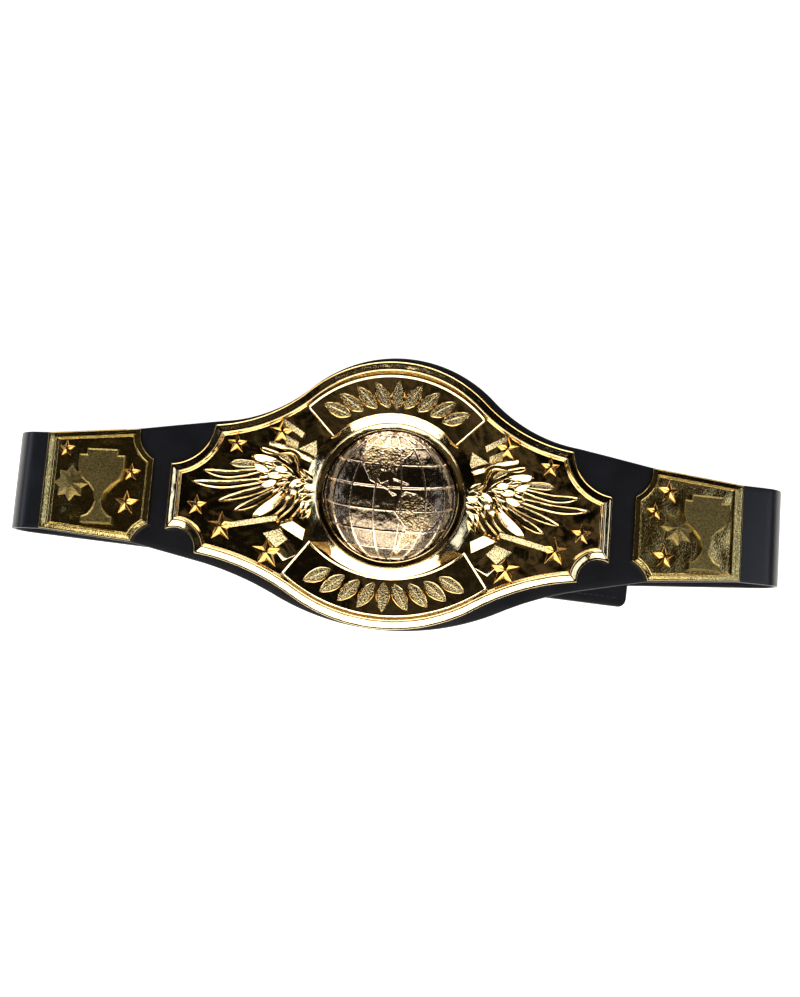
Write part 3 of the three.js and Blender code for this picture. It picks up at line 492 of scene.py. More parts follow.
def walked(edges, corners, inset, spacing=point_spacing):
    """Points along an outline moved inwards, anticlockwise, and as many at every inset."""
    loops = []
    for distance in (0, inset):
        moved = [meet(edges[i - 1], edge, distance, corners[i]) for i, edge in enumerate(edges)]
        loops.append([(moved[i], moved[(i + 1) % len(moved)]) for i in range(len(moved))])
    points = []
    for edge, (full_start, full_stop), (start, stop) in zip(edges, *loops):
        if "centre" in edge:
            spokes = [full_start - edge["centre"], full_stop - edge["centre"]]
            turn = math.atan2(spokes[0][0] * spokes[1][1] - spokes[0][1] * spokes[1][0],
                              spokes[0] @ spokes[1])
            shares = np.arange(max(2, round(abs(turn) * edge["radius"] / spacing)))
            shares = shares / len(shares)
            a, b = start - edge["centre"], stop - edge["centre"]
            turn = math.atan2(a[0] * b[1] - a[1] * b[0], a @ b)
            angles = math.atan2(a[1], a[0]) + turn * shares
            radii = np.hypot(*a) + (np.hypot(*b) - np.hypot(*a)) * shares
            points.append(edge["centre"] + np.stack([radii * np.cos(angles), radii * np.sin(angles)], 1))
        else:
            count = max(1, round(np.hypot(*(full_stop - full_start)) / spacing))
            points.append(start + np.outer(np.arange(count) / count, stop - start))
    return np.concatenate(points)


def curve_through(points, steps, closed=False):
    """A smooth curve through points, with as many steps between each two."""
    points = np.asarray(points, float)
    if closed:
        padded = np.vstack([points[-1], points, points[:2]])
    else:
        padded = np.vstack([2 * points[0] - points[1], points, 2 * points[-1] - points[-2]])
    t = (np.arange(steps) / steps)[:, None]
    pieces = []
    for a, b, c, d in zip(padded, padded[1:], padded[2:], padded[3:]):
        pieces.append(b + (c - a) * t / 2 + (a - 2.5 * b + 2 * c - d / 2) * t ** 2
                      + (1.5 * b - a / 2 - 1.5 * c + d / 2) * t ** 3)
    whole = np.vstack(pieces)
    return whole if closed else np.vstack([whole, points[-1]])


def filled(ring, spacing):
    """A flat face through a ring of points, cut into a grid so that it can bend."""
    mesh = bmesh.new()
    mesh.faces.new([mesh.verts.new(point) for point in ring])
    for axis in (0, 1):
        normal = (1, 0, 0) if axis == 0 else (0, 1, 0)
        low, high = ring[:, axis].min(), ring[:, axis].max()
        for cut in np.arange(math.ceil(low / spacing) * spacing, high, spacing):
            place = (cut, 0, 0) if axis == 0 else (0, cut, 0)
            bmesh.ops.bisect_plane(
                mesh, geom=mesh.verts[:] + mesh.edges[:] + mesh.faces[:],
                plane_co=place, plane_no=normal, dist=1e-4)
    mesh.verts.index_update()
    points = np.array([vertex.co[:] for vertex in mesh.verts])
    faces = [tuple(vertex.index for vertex in face.verts) for face in mesh.faces]
    mesh.free()
    return points, faces


def stacked(rings, spacing=field_spacing, cap_noise=None):
    """A closed shell through rings, lowest first, each anticlockwise seen from the front."""
    around = len(rings[0])
    points = [np.vstack(rings)]
    faces = rows_of_quads(len(rings), around, True)
    faces.append(tuple(reversed(range(around))))
    cap, cap_faces = filled(rings[-1], spacing)
    if cap_noise:
        cap[:, 2] += cap_noise(cap, rings[-1])
    start = len(points[0])
    points.append(cap)
    faces += [tuple(start + i for i in face) for face in cap_faces]
    return np.vstack(points), faces


def raised(loop, height):
    return np.column_stack([loop, np.full(len(loop), float(height))])


def gathered(shells):
    """Joins shells, each of points, faces and the number of its finish, or one for each face."""
    points, faces, numbers = [], [], []
    start = 0
    for shell_points, shell_faces, kind in shells:
        points.append(shell_points)
        faces += [tuple(start + i for i in face) for face in shell_faces]
        numbers += kind if isinstance(kind, list) else [kind] * len(shell_faces)
        start += len(shell_points)
    return np.vstack(points), faces, numbers


def mirrored_shell(shell):
    points, faces, kind = shell
    return points * (-1, 1, 1), [face[::-1] for face in faces], kind


def moulding(name, shells, materials, merge=0.01):
    """An object from flat shells: joined, bent round the belt and shaded smooth."""
    points, faces, numbers = gathered(shells)
    made = object_from(name, bent(points), faces, materials, numbers)
    mesh = bmesh.new()
    mesh.from_mesh(made.data)
    bmesh.ops.remove_doubles(mesh, verts=mesh.verts, dist=merge * mm)
    mesh.to_mesh(made.data)
    mesh.free()
    made.data.set_sharp_from_angle(angle=math.radians(35))
    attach(made, "root")
    return made


def mirrored_edge(edge):
    if "centre" in edge:
        return {**edge, "centre": mirrored(edge["centre"])}
    return straight(mirrored(edge["stop"]), mirrored(edge["start"]))


tab_high = (tab_reach, tab_top)
tab_low = (tab_reach, tab_bottom)
right_corners = [bottom_flare["start"], bottom_corner, tab_low, tab_high, top_corner, top_flare["start"]]
right_edges = [
    arc(bottom_flare["centre"], bottom_flare["radius"]),
    arc(centre_through(bottom_corner, tab_low, bottom_notch_radius), bottom_notch_radius),
    straight(tab_low, tab_high),
    arc(centre_through(tab_high, top_corner, top_notch_radius), top_notch_radius),
    arc(top_flare["centre"], top_flare["radius"]),
]
plate_edges = [
    *right_edges,
    arc((0, crown_centre), crown_radius, False),
    *[mirrored_edge(edge) for edge in reversed(right_edges)],
    arc((0, chin_centre), chin_radius, False),
]
plate_corners = [np.asarray(corner, float) for corner in right_corners]
plate_corners += [mirrored(corner) for corner in reversed(plate_corners)]

# The rim's section from the edge inwards: a lip, a groove, a broad slope and a bead.
# Across is a share of the rim's width, height a share of its rise.
rim_section = [
    (0, 0.1), (0.01, 0.3), (0.03, 0.42), (0.06, 0.42), (0.09, 0.26), (0.12, 0.2), (0.4, 0.47),
    (0.66, 0.72), (0.69, 0.7), (0.72, 0.88), (0.77, 1), (0.83, 0.97), (0.88, 0.62), (0.93, 0.45),
    (0.97, 0.1), (1, 0),
]


ripple_length = 13
dimple_length = 4.5
dimple_share = 0.25
ripple_height = 0.6
ripple_fade = 5


def rippled(points, ring):
    """The unevenness of a thin moulding's sunk field, none where it meets its rim."""
    gaps = np.hypot(points[:, None, 0] - ring[None, :, 0], points[:, None, 1] - ring[None, :, 1])
    fade = np.clip(gaps.min(axis=1) / ripple_fade, 0, 1)
    waves = [noise.noise(Vector(point) / ripple_length)
             + noise.noise(Vector(point) / dimple_length) * dimple_share for point in points]
    return fade * np.array(waves) * ripple_height


def rimmed_plate(edges, corners, width, rise):
    """A plate's body: flat back, wall, rim and rippled field."""
    rings = [raised(walked(edges, corners, 0), seat)]
    for across, height in curve_through(rim_section, 2):
        rings.append(raised(walked(edges, corners, across * width), field + height * rise))
    return (*stacked(rings, cap_noise=rippled), mirror_face)


def beaded(loop_at, face_height, bead, foot=None):
    """A raised panel with a bead round its face. The loop is given as a function of its inset."""
    foot = field - sink if foot is None else foot
    rows = [(0, foot), (0, face_height + 0.4 * bead), (0.1 * bead, face_height + 0.8 * bead),
            (0.3 * bead, face_height + bead), (0.5 * bead, face_height + 0.95 * bead),
            (1.5 * bead, face_height + 0.1 * bead), (1.7 * bead, face_height)]
    return stacked([raised(loop_at(inset), height) for inset, height in rows])


# Section of the ring round the globe, outwards: a bead, a channel that climbs gently, a crest and
# a slope that ends a little past the banners' edges
ring_section = [
    (0, 0.5), (0.01, 0.72), (0.04, 0.79), (0.07, 0.76), (0.09, 0.74), (0.22, 0.8), (0.36, 0.88),
    (0.4, 0.92), (0.43, 0.99), (0.46, 1), (0.5, 0.96), (0.56, 0.9), (0.9, 0.6), (1.22, 0.32),
    (1.24, 0.26), (1.25, -0.1),
]
ring_sides = 240


def turned_ring():
    profile = curve_through(ring_section, 3)
    angles = np.linspace(0, 2 * math.pi, ring_sides, endpoint=False)
    rows = []
    for across, height in profile:
        radius = ring_radius - ring_width + across * ring_width
        rows.append(np.column_stack([
            radius * np.cos(angles), radius * np.sin(angles),
            np.full(ring_sides, field + height * ring_rise)]))
    faces = rows_of_quads(len(rows), ring_sides, True)
    return np.vstack(rows), [face[::-1] for face in faces], mirror_face


banner_rise = 2.4
banner_bead = 0.75
banner_gap = 1.7
banner_angle = math.radians(47)
banner_inner_angle = math.radians(48.4)
lower_banner_inner = 65
lower_banner_outer = 98
lower_banner_half_width = 61
lower_banner_top_half_width = 45.8


def banner(inner, outer, up):
    """A band between two arcs, each of radius, centre and half angle, over or under the globe."""
    def end_of_arc(arc_row, side):
        radius, centre, angle = arc_row
        return np.array([side * radius * math.sin(angle), centre + radius * math.cos(angle)])

    corners = [end_of_arc(inner, 1), end_of_arc(outer, 1), end_of_arc(outer, -1), end_of_arc(inner, -1)]
    edges = [
        straight(corners[0], corners[1]),
        arc((0, outer[1]), outer[0], False),
        straight(corners[2], corners[3]),
        arc((0, inner[1]), inner[0], True),
    ]

    def loop_at(inset):
        loop = walked(edges, corners, inset)
        return loop if up > 0 else (loop * (1, -1))[::-1]

    return (*beaded(loop_at, field + banner_rise, banner_bead), mirror_face)


crown_top = crown_centre + crown_radius
chin_bottom = chin_centre - chin_radius
upper_inner = (ring_radius, 0, banner_inner_angle)
upper_outer = (crown_top - rim_width - banner_gap, 0, banner_angle)
lower_inner = (lower_banner_inner, ring_radius - lower_banner_inner,
               math.asin(lower_banner_top_half_width / lower_banner_inner))
lower_outer = (lower_banner_outer, -chin_bottom - rim_width - lower_banner_outer,
               math.asin(lower_banner_half_width / lower_banner_outer))

# Aluminium evaporated onto lacquered ABS under a yellow topcoat: a mirror with the slow waves
# of a thin moulding and the fine pits of its lacquer. The mirror shows the room as it is, the
# pebbled faces break it into a pale glitter, and the amber ones have more of the yellow topcoat.
wave_length = 7
pit_spacing = 0.9


def metallised(name, colour, roughness, wave_height, pit_height, pit_shade=0.15):
    """A gold mirror finish with waves and pits, their heights in millimetres, and painted shade that
    darkens the bottoms of the pits.
    """
    finish, tree = new_material(name)
    place = add_node(tree, "ShaderNodeTexCoord")
    waves = add_node(tree, "ShaderNodeTexNoise", {"Scale": 1 / (wave_length * mm), "Detail": 1.5},
                     {"Vector": (place, "Object")})
    wave_bump = add_node(tree, "ShaderNodeBump", {"Strength": 1, "Distance": wave_height * mm},
                         {"Height": (waves, "Fac")})
    pits = add_node(tree, "ShaderNodeTexNoise", {
        "Scale": 1 / (pit_spacing * mm), "Detail": 3, "Roughness": 0.6}, {"Vector": (place, "Object")})
    pit_bump = add_node(tree, "ShaderNodeBump", {"Strength": 1, "Distance": pit_height * mm},
                        {"Height": (pits, "Fac"), "Normal": (wave_bump, "Normal")})
    # The colour darkens where the pits go deepest: painted shade in the pits.
    painted_pit_shade = add_node(tree, "ShaderNodeMapRange", {
        "From Min": 0.38, "From Max": 0.62, "To Min": 1 - pit_shade, "To Max": 1}, {"Value": (pits, "Fac")})
    tint = add_node(tree, "ShaderNodeVectorMath", {"operation": "SCALE", 0: linear(colour)[:3]},
                    {"Scale": (painted_pit_shade, "Result")})
    mirror = add_node(tree, "ShaderNodeBsdfPrincipled", {"Metallic": 1, "Roughness": roughness}, {
        "Base Color": (tint, "Vector"), "Normal": (pit_bump, "Normal")})
    add_node(tree, "ShaderNodeOutputMaterial", {}, {"Surface": (mirror, "BSDF")})
    return finish


gold_mirror = metallised("metallised_gold_mirror", "#f5dfae", 0.1, 0.25, 0.02)
gold_pebbled = metallised("metallised_gold_pebbled", "#efdcaa", 0.26, 0.1, 0.45, 0.65)
gold_amber = metallised("metallised_amber_gold", "#dcac62", 0.17, 0.12, 0.02)
golds = [gold_mirror, gold_pebbled, gold_amber]
mirror_face, pebbled_face, amber_face = range(3)

plate = moulding("main_plate_body", [
    rimmed_plate(plate_edges, plate_corners, rim_width, rim_rise),
    turned_ring(),
    banner(upper_inner, upper_outer, 1),
    banner(lower_inner, lower_outer, -1),
], golds)
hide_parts("main_plate")

# The laurel on the banners
# Raised with the main plate in the same mould: leaves along each banner that point away from its
# middle, each with a beaded edge, a midrib and a pebbled face.
leaf_length = 17.5
leaf_width = 8.6
leaf_rise = 1.8
leaf_places = [(0.185, 0.42), (0.375, 0.5), (0.565, 0.55), (0.755, 0.6)]


def swept(spine, half_widths, rises, section, base, foot, pebbled=()):
    """A stroke of relief along a spine. The section's rows are across, -1 to 1, and height.
    Between the two pebbled shares of its width its face is pebbled."""
    spine = np.asarray(spine, float)
    ways = np.gradient(spine, axis=0)
    across = np.column_stack([-ways[:, 1], ways[:, 0]]) / np.hypot(ways[:, 0], ways[:, 1])[:, None]
    section = np.asarray(section, float)
    shares = np.concatenate([[-1], section[:, 0], [1]])
    rows = []
    for middle, side, half_width, rise in zip(spine, across, half_widths, rises):
        heights = np.concatenate([[foot], base + section[:, 1] * rise, [foot]])
        rows.append(np.column_stack([middle + np.outer(shares * half_width, side), heights]))
    around = len(shares)
    faces = rows_of_quads(len(rows), around, True)
    kinds = []
    for face in faces:
        column = face[0] % around
        middle = (shares[column] + shares[(column + 1) % around]) / 2
        inside = pebbled and column < around - 1 and pebbled[0] < middle < pebbled[1]
        kinds.append(pebbled_face if inside else mirror_face)
    faces.append(tuple(reversed(range(around))))
    faces.append(tuple((len(rows) - 1) * around + i for i in range(around)))
    return np.vstack(rows), faces, [*kinds, mirror_face, mirror_face]


leaf_section = [
    (-1, 0.3), (-0.95, 0.75), (-0.87, 1), (-0.79, 0.95), (-0.71, 0.66), (-0.4, 0.7), (-0.13, 0.72),
    (-0.09, 0.9), (0, 1), (0.09, 0.9), (0.13, 0.72), (0.4, 0.7), (0.71, 0.66), (0.79, 0.95), (0.87, 1),
    (0.95, 0.75), (1, 0.3),
]
leaf_outline = [
    (0, 0.1), (0.1, 0.5), (0.28, 0.9), (0.45, 1), (0.66, 0.86), (0.85, 0.5), (0.95, 0.22), (1, 0.04),
]
dome_section = [(math.sin(turn), math.cos(turn)) for turn in np.linspace(-math.pi / 2, math.pi / 2, 9)]


def shaped(points, outline, width, rise, section, base, foot, pebbled=(), steps=7):
    """A stroke through points whose width follows an outline from root to tip."""
    spine = curve_through(points, steps)
    stations = np.linspace(0, 1, len(spine))
    widths = np.interp(stations, *zip(*outline))
    rises = rise * (0.45 + 0.55 * np.sqrt(widths))
    return swept(spine, widths * width / 2, rises, section, base, foot, pebbled)


def dome(place, radius, rise, base, kind):
    """A small round boss."""
    turns = np.linspace(0, 2 * math.pi, 12, endpoint=False)
    loop = np.column_stack([np.cos(turns), np.sin(turns)]) * radius
    rings = [raised(np.asarray(place) + loop * math.cos(lean), base + rise * math.sin(lean))
             for lean in np.radians((0, 25, 50, 72, 88))]
    rings.insert(0, rings[0] * (1, 1, 0) + (0, 0, base - sink))
    return (*stacked(rings), kind)


def laurel(centre, radius, half_angle, up):
    shells = []
    base = field + banner_rise

    for along, tilt in [(0, 0), *leaf_places, *[(-along, -tilt) for along, tilt in leaf_places]]:
        angle = along * half_angle
        middle = np.array([radius * math.sin(angle), up * (centre + radius * math.cos(angle))])
        half = np.array([math.sin(angle + tilt), up * math.cos(angle + tilt)]) * leaf_length / 2
        shells.append(shaped([middle - half, middle, middle + half], leaf_outline, leaf_width,
                             leaf_rise, leaf_section, base, base - sink, (-0.72, 0.72)))
    return shells


lower_middle = (lower_inner[1] + lower_outer[1]) / 2
lower_reach = (ring_radius - chin_bottom - rim_width) / 2 - lower_middle
moulding("main_plate_laurel", [
    *laurel(0, (upper_inner[0] + upper_outer[0]) / 2, banner_angle, 1),
    *laurel(lower_middle, lower_reach, lower_outer[2], -1),
], golds)

# The wings
# Raised with the main plate: a neck that curls against the ring, a shoulder of small ruffled
# feathers, long feathers with beaded edges, thin ribs under them and a staff over and under all.
# Places are along the belt and across it, from the globe's centre, on the right half.
feather_rise = 2.6
plume_outline = [(0, 0.6), (0.25, 0.85), (0.6, 1), (0.8, 0.82), (0.92, 0.5), (1, 0.06)]
rib_outline = [(0, 0.5), (0.2, 1), (0.75, 0.85), (1, 0.25)]
staff_outline = [(0, 0.9), (0.5, 1), (1, 0.9)]
plume_section = [
    (-1, 0.4), (-0.96, 0.75), (-0.88, 1), (-0.78, 0.95), (-0.68, 0.5), (-0.5, 0.42), (0, 0.42), (0.5, 0.5),
    (0.74, 0.56), (0.82, 0.74), (0.89, 0.78), (0.96, 0.6), (1, 0.3),
]
turned_down = [(-1, 0.15), (-0.9, 0.3), (0, 0.62), (0.8, 0.95), (0.92, 1), (1, 0.8)]
turned_up = [(-across, height) for across, height in reversed(turned_down)]
plumes = table(("spine", "width", "section", "pebbled"), [
    ([(79, 10.2), (97.5, 6.6), (113.5, 8.4)], 5, plume_section),
    ([(76, 4.5), (99.5, 0.4), (120, 1.2)], 5, plume_section),
    ([(71, 1.7), (84, -3.6), (103, -9.6)], 4.6, plume_section),
    ([(68, -1), (80.5, -9.3), (92.7, -14.8)], 4.6, plume_section),
    ([(63.5, -2.8), (70.5, -10), (81, -18.2)], 5.4, turned_down),
    ([(80, 13.4), (89, 13.6), (97.5, 13.5)], 5.2, plume_section, (-0.7, 0.75)),
    ([(68, 15.5), (76, 17), (84.5, 18)], 4.6, turned_down),
    ([(69, 20.9), (75, 22), (80, 23.7)], 3.4, plume_section),
    ([(60.5, 15.8), (64.7, 18.8), (68.7, 20.6)], 3.8, plume_section, (-0.7, 0.75)),
])
ribs = [
    [(63, -3), (65.2, -7), (69, -12.2)],
    [(59.8, -4), (61.9, -9.6), (65.8, -14.2), (71, -18.2)],
    [(55.7, -4.6), (57.5, -9.9), (61.5, -14.5), (66, -19)],
    [(50.4, -4.8), (52.6, -9.5), (55.9, -14.6), (58.7, -17.9)],
    [(46.5, -5), (47.5, -10), (49.2, -12.9), (51.5, -15)],
]
rib_width = 1.5
rib_rise = 2
neck = [(68.6, 20.9), (60.8, 21.2), (57.1, 16.6), (55.1, 11.2), (51.5, 8.6), (48.4, 9.3), (45.6, 12.4)]
neck_width = 2.5
staves = table(("spine", "width", "section", "kind"), [
    ([(74.6, 27), (64.5, 24.6), (53.6, 20), (44, 16.4)], 2.7, turned_up, mirror_face),
    ([(66, -17.8), (79.6, -20.6), (97, -24.4)], 3, turned_down, pebbled_face),
])
shoulder = [
    (81, 11.4), (79.3, 6.9), (75.3, 3.3), (68, -1.8), (62.5, -2.4), (56.3, -3.4), (48, -5.6), (45.4, 0),
    (50, 4), (56, 7), (60.4, 12), (68.2, 16.4), (76.1, 15.6),
]
ruffles = table(("roots", "count", "turn"), [
    ([(75, 10), (72.5, 5.5), (66.5, 1.5), (58.5, -1), (49.5, -3)], 9, (0, -80)),
    ([(71, 12.5), (67, 8), (61, 4), (54, 1.2), (48, 0.4)], 8, (15, -70)),
    ([(66, 13.5), (62, 9.5), (57, 6), (51, 3.4)], 6, (25, -55)),
])
ring_ruffles = table(("roots", "count", "turn"), [
    ([(52, 9), (49, 4.5), (47.6, -1), (48.6, -6), (50, -10)], 9, (40, -75)),
    ([(46.6, 6.5), (44.8, 0.5), (45.6, -6), (47.4, -10.5)], 8, (30, -70)),
])
ruffle_length = 7
ruffle_width = 4
ruffle_rise = 1.8
ruffle_base = 0.45
ruffle_layer_step = 0.35
ruffle_pair_step = 0.15
unevenness = 0.5
uneven_length = 2.3
knobs = [
    (46.2, 3.6, 1.5), (48.8, 5.6, 1.3), (46.6, -1.4, 1.6), (49.6, -4.6, 1.4), (52.6, 5.8, 1.2),
    (46.4, -6.2, 1.3), (60, -19.4, 1.5), (62.8, -20.6, 1.3), (65.6, -19.4, 1.4), (57.6, -18.2, 1.2),
]


def inset_loop(loop, inset):
    """A closed curve moved inwards by a little."""
    before = loop - np.roll(loop, 1, axis=0)
    after = np.roll(loop, -1, axis=0) - loop
    ways = before / np.hypot(*before.T)[:, None] + after / np.hypot(*after.T)[:, None]
    ways /= np.hypot(*ways.T)[:, None]
    return loop + np.column_stack([-ways[:, 1], ways[:, 0]]) * inset


def ruffled_shells():
    """Small feathers in rows over the shoulder, the rows nearest the neck lying on the others."""
    shells = []
    for layer, row in enumerate([*ruffles, *ring_ruffles]):
        curve = curve_through(row["roots"], 8)
        picks = np.linspace(0, len(curve) - 1, row["count"]).round().astype(int)
        turns = np.radians(np.linspace(*row["turn"], row["count"]))
        for i, (place, turn) in enumerate(zip(curve[picks], turns)):
            uneven = noise.noise(Vector((*place, 0.5)) / uneven_length)
            turn += uneven * unevenness
            way = np.array([math.cos(turn), math.sin(turn)]) * ruffle_length
            way *= 1 + unevenness * uneven
            base = field + ruffle_base * feather_rise + ruffle_layer_step * layer
            base += ruffle_pair_step * (i % 2)
            if row in ring_ruffles:
                from_centre = np.hypot(*(place + 0.2 * way)) - ring_radius + ring_width
                base = field + ring_rise * np.interp(from_centre / ring_width, *zip(*ring_section)) - sink
            section = (turned_down, dome_section, plume_section)[(i + layer) % 3]
            shells.append(shaped([place - 0.2 * way, place + 0.4 * way, place + way], leaf_outline,
                                 ruffle_width, ruffle_rise, section, base, field - sink, steps=4))
    return shells


shoulder_loop = curve_through(shoulder, 4, closed=True)[::-1]
wing = [
    (*stacked([raised(inset_loop(shoulder_loop, inset), field + height * feather_rise)
               for inset, height in ((0, -0.2), (0.1, 0.3), (0.8, 0.5), (1.6, 0.55))]), mirror_face),
    *[shaped(row["spine"], plume_outline, row["width"], feather_rise, row["section"], field + 0.02 * i,
             field - sink, row.get("pebbled", ()))
      for i, row in enumerate(plumes)],
    *[shaped(spine, rib_outline, rib_width, rib_rise, dome_section, field, field - sink) for spine in ribs],
    *[(*shaped(row["spine"], staff_outline, row["width"], feather_rise, row["section"], field,
               field - sink)[:2], row["kind"]) for row in staves],
    shaped(neck, rib_outline, neck_width, feather_rise * 1.2, dome_section, field, field - sink),
    *ruffled_shells(),
    *[dome((along, across), radius, radius, field + 0.4 * feather_rise, amber_face)
      for along, across, radius in knobs],
]
moulding("main_plate_wings", [*wing, *map(mirrored_shell, wing)], golds)

# The stars and ribbons
# Raised with the main plate: five stars with faceted points on each half, and the tails of the
# banners' ribbon, which fold into flat faces that lean one way or another.
star_radius = 10
star_edge = 0.8
star_rise = 3.5
star_waist = 0.45
ribbons = table(("corners", "rises", "kind"), [
    ([(54, 34.4), (66.5, 42), (67.6, 39.2), (55.4, 31.4)], [2.6, 2.6, 1, 1], pebbled_face),
    ([(57, 28.4), (65, 32.2), (65, 26.8), (57.6, 24)], [3, 3, 1, 1], pebbled_face),
    ([(46.3, 30), (57.2, 24.6), (51, 22.6), (45, 19.6)], [3.6, 1.6, 1, 1], pebbled_face),
    ([(64, -23.8), (74.6, -27.6), (60.5, -43), (51.6, -38.3)], [1.2, 1.2, 1.2, 1.2], mirror_face),
    ([(64, -24.4), (73.6, -27.6), (65.4, -35.6), (58.8, -30)], [3.2, 3.2, 1.8, 1.8], pebbled_face),
    ([(56.2, -19.4), (64.6, -22.3), (50.2, -30), (49, -23.4)], [4.8, 4.4, 0.3, 1.6], mirror_face),
    ([(28, 39.6), (38, 32.2), (28.2, 35.2)], [3, 3.2, 4.4], amber_face),
    ([(45.4, -31), (32.2, -38.2), (32.4, -30)], [2.8, 3.2, 4.6], amber_face),
])
stars = table(("place", "size"), [
    ((0.705, 0.313), 0.62),
    ((0.504, 0.417), 0.81),
    ((0.866, -0.16), 0.65),
    ((0.744, -0.306), 0.91),
    ((0.527, -0.472), 1),
])
ridge_round = 0.22


def star(place, radius, edge, rise, points=5, waist=star_waist, kind=amber_face):
    """A star with a ridge to each point and a valley to each waist, its edges slightly rounded."""
    mesh = bmesh.new()
    outline = []
    for i in range(2 * points):
        angle = math.pi / 2 + i * math.pi / points
        reach = radius * (waist if i % 2 else 1)
        outline.append((place[0] + reach * math.cos(angle), place[1] + reach * math.sin(angle)))
    low = [mesh.verts.new((*point, field - sink)) for point in outline]
    high = [mesh.verts.new((*point, field + edge)) for point in outline]
    peak = mesh.verts.new((*place, field + rise))
    mesh.faces.new(low[::-1])
    for i in range(2 * points):
        following = (i + 1) % (2 * points)
        mesh.faces.new((low[i], low[following], high[following], high[i]))
        mesh.faces.new((high[i], high[following], peak))
    mesh.normal_update()
    rounded = [edge for edge in mesh.edges if not any(vertex in low for vertex in edge.verts)]
    bmesh.ops.bevel(mesh, geom=rounded, offset=ridge_round, segments=2, profile=0.5, affect="EDGES")
    mesh.verts.index_update()
    made = [vertex.co[:] for vertex in mesh.verts]
    faces = [tuple(vertex.index for vertex in face.verts) for face in mesh.faces]
    mesh.free()
    return np.array(made), faces, kind


def leaning(corners, rises, kind):
    """A flat face over the field whose corners, clockwise, stand at different heights."""
    corners = np.asarray(corners, float)[::-1]
    tops = field + np.asarray(rises, float)[::-1]
    middle = corners.mean(axis=0)
    inner = middle + (corners - middle) * 0.93
    count = len(corners)
    points = np.vstack([
        np.column_stack([corners, np.full(count, field - sink)]),
        np.column_stack([corners, tops - ridge_round]),
        np.column_stack([inner, tops]),
    ])
    faces = rows_of_quads(3, count, True)
    return points, [*faces, tuple(range(2 * count, 3 * count)), tuple(reversed(range(count)))], kind


def in_plate(place):
    return np.array([place[0] * tab_reach, place[1] * crown_top])


half_relief = [leaning(row["corners"], row["rises"], row["kind"]) for row in ribbons]
half_relief += [star(in_plate(row["place"]), row["size"] * star_radius, star_edge, row["size"] * star_rise)
                for row in stars]
moulding("main_plate_stars", [*half_relief, *map(mirrored_shell, half_relief)], golds)

# The globe
# A moulded dome pressed into the ring: raised lines of latitude and longitude, and rough raised
# lands with a beaded coast.
globe_rise = 18
globe_depth = 1.2
graticule_rise = 0.7
line_width = 1.3
land_rise = 0.8
raised_from = 0.12
coast_width = 0.9
coast_bead_height = 0.25
coast_bead_middle = 0.4
coast_bead_half = 0.6
land_slope = 0.5
land_floor = 0.45
pebble_share = 0.9
pebble_length = 1.7
swell_length = 6
swell_height = 0.12
dent_length = 1.8
dent_height = 0.1
view_latitude = math.radians(11)
view_longitude = -85
parallel_step = 20
meridian_step = 22.5
first_meridian = 9
first_parallel = 15
coasts = [
    [(9, -80), (8, -83), (13, -88), (16, -95), (20, -105), (31, -114), (40, -124), (48, -125),
     (58, -137), (60, -150), (66, -162), (71, -156), (70, -130), (69, -110), (73, -95), (63, -92),
     (56, -88), (52, -80), (60, -77), (61, -65), (52, -56), (46, -64), (41, -72), (35, -76),
     (30, -81), (25, -80.5), (30, -86), (29, -94), (22, -98), (18, -94), (21, -88), (16, -88), (11, -84)],
    [(8, -77), (12, -72), (10, -62), (4, -51), (-3, -42), (-8, -35), (-18, -39), (-24, -46),
     (-34, -54), (-39, -62), (-47, -66), (-55, -69), (-50, -75), (-37, -73), (-18, -71), (-6, -81),
     (1, -79)],
    [(23, -84), (21, -75), (18.5, -68.5), (18, -72), (20, -77), (21.5, -84)],
    [(60, -44), (70, -24), (80, -20), (82, -45), (77, -68), (70, -53)],
]
globe_rings = 150
globe_spokes = 480


def seen_on_globe(latitude, longitude):
    """Where a point of the unit globe is seen from the front, with latitude and longitude in degrees."""
    latitude, east = np.radians(latitude), np.radians(np.asarray(longitude) - view_longitude)
    towards = np.cos(latitude) * np.cos(east)
    return np.array([np.cos(latitude) * np.sin(east),
                     math.cos(view_latitude) * np.sin(latitude) - math.sin(view_latitude) * towards])


def land_depth(x, y):
    """How far inland points of the unit globe are, in millimetres, negative at sea."""
    depth = np.full(x.shape, -np.inf)
    for coast in coasts:
        corners = seen_on_globe(*np.array(coast).T).T
        inside = np.zeros(x.shape, bool)
        nearest = np.full(x.shape, np.inf)
        for (ax, ay), (bx, by) in zip(corners, np.roll(corners, -1, axis=0)):
            crosses = (ay > y) != (by > y)
            inside ^= crosses & (x < (bx - ax) * (y - ay) / (by - ay + 1e-12) + ax)
            share = ((x - ax) * (bx - ax) + (y - ay) * (by - ay)) / ((bx - ax) ** 2 + (by - ay) ** 2)
            share = np.clip(share, 0, 1)
            away = np.hypot(x - ax - share * (bx - ax), y - ay - share * (by - ay))
            nearest = np.minimum(nearest, away)
        depth = np.maximum(depth, np.where(inside, nearest, -nearest) * globe_radius)
    return depth


